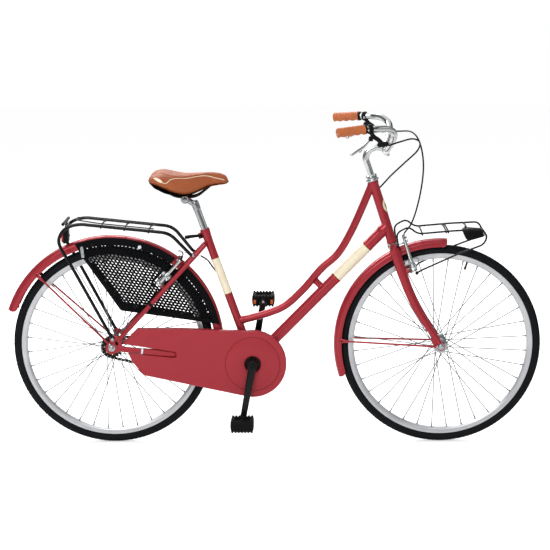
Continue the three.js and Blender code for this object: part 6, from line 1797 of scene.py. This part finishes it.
def floor_finish():
    """Pale floor: it takes the object's shadow and shows as white to the camera."""
    material = bpy.data.materials.new("studio_floor")
    material.use_nodes = True
    tree = material.node_tree
    tree.nodes.clear()
    out, matt, glow, add, mix, path = (tree.nodes.new("ShaderNode" + kind) for kind in (
        "OutputMaterial", "BsdfDiffuse", "Emission", "AddShader", "MixShader", "LightPath"))
    put(matt, {"Color": (0.94, 0.94, 0.94, 1)})
    put(glow, {"Strength": 0.4})
    wire(tree, (matt, "BSDF", add, 0), (glow, "Emission", add, 1), (path, "Is Camera Ray", mix, "Fac"),
         (matt, "BSDF", mix, 1), (add, "Shader", mix, 2), (mix, "Shader", out, "Surface"))
    return material


def area_light(name, place, size, power, target=(0, 0, 0.5)):
    """A square light that looks from its place at the target."""
    lamp = bpy.data.lights.new(name, "AREA")
    lamp.shape = "RECTANGLE"
    lamp.size, lamp.size_y = size
    lamp.energy = power
    made = bpy.data.objects.new(name, lamp)
    made.location = place
    made.rotation_mode = "QUATERNION"
    made.rotation_quaternion = (Vector(target) - Vector(place)).to_track_quat("-Z", "Y")
    bpy.context.scene.collection.objects.link(made)
    return made


def photo_camera():
    """The camera at the photograph's place, pitched down by 10.3 degrees."""
    pitch, yaw, roll = 0.17946, -0.01532, -0.00651
    way = np.array([math.sin(yaw) * math.cos(pitch), math.cos(yaw) * math.cos(pitch), -math.sin(pitch)])
    right = np.array([math.cos(yaw), -math.sin(yaw), 0])
    up = np.cross(right, way)
    side = math.cos(roll) * right + math.sin(roll) * up
    top = -math.sin(roll) * right + math.cos(roll) * up
    lens = bpy.data.cameras.new("photo_camera")
    lens.sensor_width, lens.lens = 36, 115.29
    lens.clip_end = 100
    made = bpy.data.objects.new("photo_camera", lens)
    turned = np.stack([side, top, -way], 1).tolist()
    made.matrix_world = Matrix([[*row, at] for row, at in zip(turned, (0.09589, -6.0, 1.68014))] + [[0, 0, 0, 1]])
    bpy.context.scene.collection.objects.link(made)
    bpy.context.scene.camera = made


def stage_pieces(light):
    """The view transform, the world, the floor, two lights and the camera."""
    scene = bpy.context.scene
    scene.view_settings.view_transform = "Standard"
    world_light(light.sky)
    mesh = bpy.data.meshes.new("studio_floor")
    reach, below = 14.0, -0.0005
    mesh.from_pydata(
        [(x * reach, y * reach, below) for x, y in ((-1, -1), (1, -1), (1, 1), (-1, 1))], [], [(0, 1, 2, 3)])
    floor = bpy.data.objects.new("studio_floor", mesh)
    scene.collection.objects.link(floor)
    floor.data.materials.append(floor_finish())
    area_light("key_softbox", (-1.6, -3.4, 3.6), (3.2, 2.4), light.key)
    area_light("rim_softbox", (-1.2, 2.6, 3.2), (3.0, 1.6), light.rim)
    photo_camera()


# What a user can change

class BicyclePaint(bpy.types.PropertyGroup):
    frame_colour: FloatVectorProperty(
        name="Frame", description="Enamel of the frame, fenders and chain case", subtype="COLOR", min=0, max=1,
        default=linear("a12c36"))
    fitting_colour: FloatVectorProperty(
        name="Carriers", description="Enamel of the carriers and cranks", subtype="COLOR", min=0, max=1,
        default=linear("0b0c0e"))
    leather_colour: FloatVectorProperty(
        name="Saddle", description="Leather of the saddle", subtype="COLOR", min=0, max=1, default=linear("a65a36"))
    grip_colour: FloatVectorProperty(
        name="Grips", description="Covering of the grips", subtype="COLOR", min=0, max=1, default=linear("bf6a3c"))


class BicycleSizes(bpy.types.PropertyGroup):
    spokes: IntProperty(name="Spokes", description="Spokes in each wheel", default=36, min=24, max=40)
    tread_lugs: IntProperty(name="Tread lugs", description="Lugs round each tyre", default=140, min=60, max=200)
    guard_pitch_long: FloatProperty(
        name="Net pitch, level", description="Distance of the net's openings in a row, in millimetres", default=13.4,
        min=10, max=40)
    guard_pitch_wide: FloatProperty(
        name="Net pitch, upright", description="Distance of the net's rows, in millimetres", default=9.8, min=6,
        max=30)
    guard_hole_long: FloatProperty(
        name="Opening's length", description="Length of one opening, in millimetres", default=9.8, min=6, max=36)
    guard_hole_wide: FloatProperty(
        name="Opening's width", description="Width of one opening, in millimetres", default=5.8, min=3, max=24)


class StudioLight(bpy.types.PropertyGroup):
    sky: FloatProperty(name="Sky", description="Strength of the even light", default=0.62, min=0, max=2)
    key: FloatProperty(
        name="Key", description="Power of the light at the camera's left", default=110, min=0, max=1000,
        subtype="POWER")
    rim: FloatProperty(
        name="Rim", description="Power of the light behind", default=130, min=0, max=1000, subtype="POWER")


class BicycleOperator:
    bl_options = {"REGISTER", "UNDO"}


class BIKE_OT_stage(BicycleOperator, bpy.types.Operator):
    """Make the finishes, the floor, the lights and the camera"""
    bl_idname = "bike.stage"
    bl_label = "Studio"

    def execute(self, context):
        make_finishes(context.scene.bicycle_paint)
        dress_nodes()
        stage_pieces(context.scene.studio_light)
        return {"FINISHED"}


class BIKE_OT_wheels(BicycleOperator, bpy.types.Operator):
    """Make both wheels: tyre, rim, spokes, hub, valve and axle nuts"""
    bl_idname = "bike.wheels"
    bl_label = "Wheels"

    def execute(self, context):
        for end in ("front", "rear"):
            wheel_pieces(Wheel(context.scene.bicycle_sizes, end))
        return {"FINISHED"}


class BIKE_OT_frame_tubes(BicycleOperator, bpy.types.Operator):
    """Make the enamelled frame tubes with their bands and badge"""
    bl_idname = "bike.frame_tubes"
    bl_label = "Frame tubes"

    def execute(self, context):
        frame_pieces()
        return {"FINISHED"}


class BIKE_OT_fork(BicycleOperator, bpy.types.Operator):
    """Make the fork and the headset"""
    bl_idname = "bike.fork"
    bl_label = "Fork and headset"

    def execute(self, context):
        fork_pieces()
        headset_pieces()
        return {"FINISHED"}


class BIKE_OT_fenders(BicycleOperator, bpy.types.Operator):
    """Make the fenders and their stays"""
    bl_idname = "bike.fenders"
    bl_label = "Fenders"

    def execute(self, context):
        fender_pieces()
        return {"FINISHED"}


class BIKE_OT_drive(BicycleOperator, bpy.types.Operator):
    """Make the chain case, chain, toothed wheels, cranks and pedals"""
    bl_idname = "bike.drive"
    bl_label = "Drive"

    def execute(self, context):
        case_pieces()
        drive_pieces()
        crank_pieces()
        pedal_pieces()
        return {"FINISHED"}


class BIKE_OT_seat(BicycleOperator, bpy.types.Operator):
    """Make the saddle, its rails and clamp, the seat post and its lever"""
    bl_idname = "bike.seat"
    bl_label = "Seat"

    def execute(self, context):
        saddle_pieces()
        seat_post_pieces()
        return {"FINISHED"}


class BIKE_OT_handlebar(BicycleOperator, bpy.types.Operator):
    """Make the handlebar, stem, grips and brake levers"""
    bl_idname = "bike.handlebar"
    bl_label = "Handlebar"

    def execute(self, context):
        handlebar_pieces()
        grip_pieces()
        lever_pieces()
        return {"FINISHED"}


class BIKE_OT_brakes(BicycleOperator, bpy.types.Operator):
    """Make the brake arms and the cables"""
    bl_idname = "bike.brakes"
    bl_label = "Brakes"

    def execute(self, context):
        brake_pieces()
        cable_pieces()
        return {"FINISHED"}


class BIKE_OT_carriers(BicycleOperator, bpy.types.Operator):
    """Make both carriers and the lamps on them"""
    bl_idname = "bike.carriers"
    bl_label = "Carriers and lamps"

    def execute(self, context):
        rear_carrier_pieces()
        front_carrier_pieces()
        lamp_pieces()
        return {"FINISHED"}


class BIKE_OT_guards(BicycleOperator, bpy.types.Operator):
    """Make the skirt guards"""
    bl_idname = "bike.guards"
    bl_label = "Skirt guards"

    def execute(self, context):
        guard_pieces(context.scene.bicycle_sizes)
        return {"FINISHED"}


OPERATORS = (
    BIKE_OT_stage, BIKE_OT_wheels, BIKE_OT_frame_tubes, BIKE_OT_fork, BIKE_OT_fenders, BIKE_OT_drive, BIKE_OT_seat,
    BIKE_OT_handlebar, BIKE_OT_brakes, BIKE_OT_carriers, BIKE_OT_guards)


class BIKE_PT_panel(bpy.types.Panel):
    """The bicycle's sizes, colours and pieces"""
    bl_idname = "BIKE_PT_panel"
    bl_label = "Bicycle"
    bl_space_type = "VIEW_3D"
    bl_region_type = "UI"
    bl_category = "Bicycle"

    def draw(self, context):
        for group in (context.scene.bicycle_paint, context.scene.bicycle_sizes, context.scene.studio_light):
            for name in group.bl_rna.properties.keys():
                if name not in ("rna_type", "name"):
                    self.layout.prop(group, name)
        for operator in OPERATORS:
            self.layout.operator(operator.bl_idname)


CLASSES = (BicyclePaint, BicycleSizes, StudioLight, *OPERATORS, BIKE_PT_panel)


def register():
    for kind in CLASSES:
        bpy.utils.register_class(kind)
    bpy.types.Scene.bicycle_paint = PointerProperty(type=BicyclePaint)
    bpy.types.Scene.bicycle_sizes = PointerProperty(type=BicycleSizes)
    bpy.types.Scene.studio_light = PointerProperty(type=StudioLight)


def unregister():
    for name in ("bicycle_paint", "bicycle_sizes", "studio_light"):
        delattr(bpy.types.Scene, name)
    for kind in reversed(CLASSES):
        bpy.utils.unregister_class(kind)


def main():
    register()
    for name in (
        "stage", "wheels", "frame_tubes", "fork", "fenders", "drive", "seat", "handlebar", "brakes", "carriers",
        "guards"):
        getattr(bpy.ops.bike, name)()


if __name__ == "__main__":
    main()
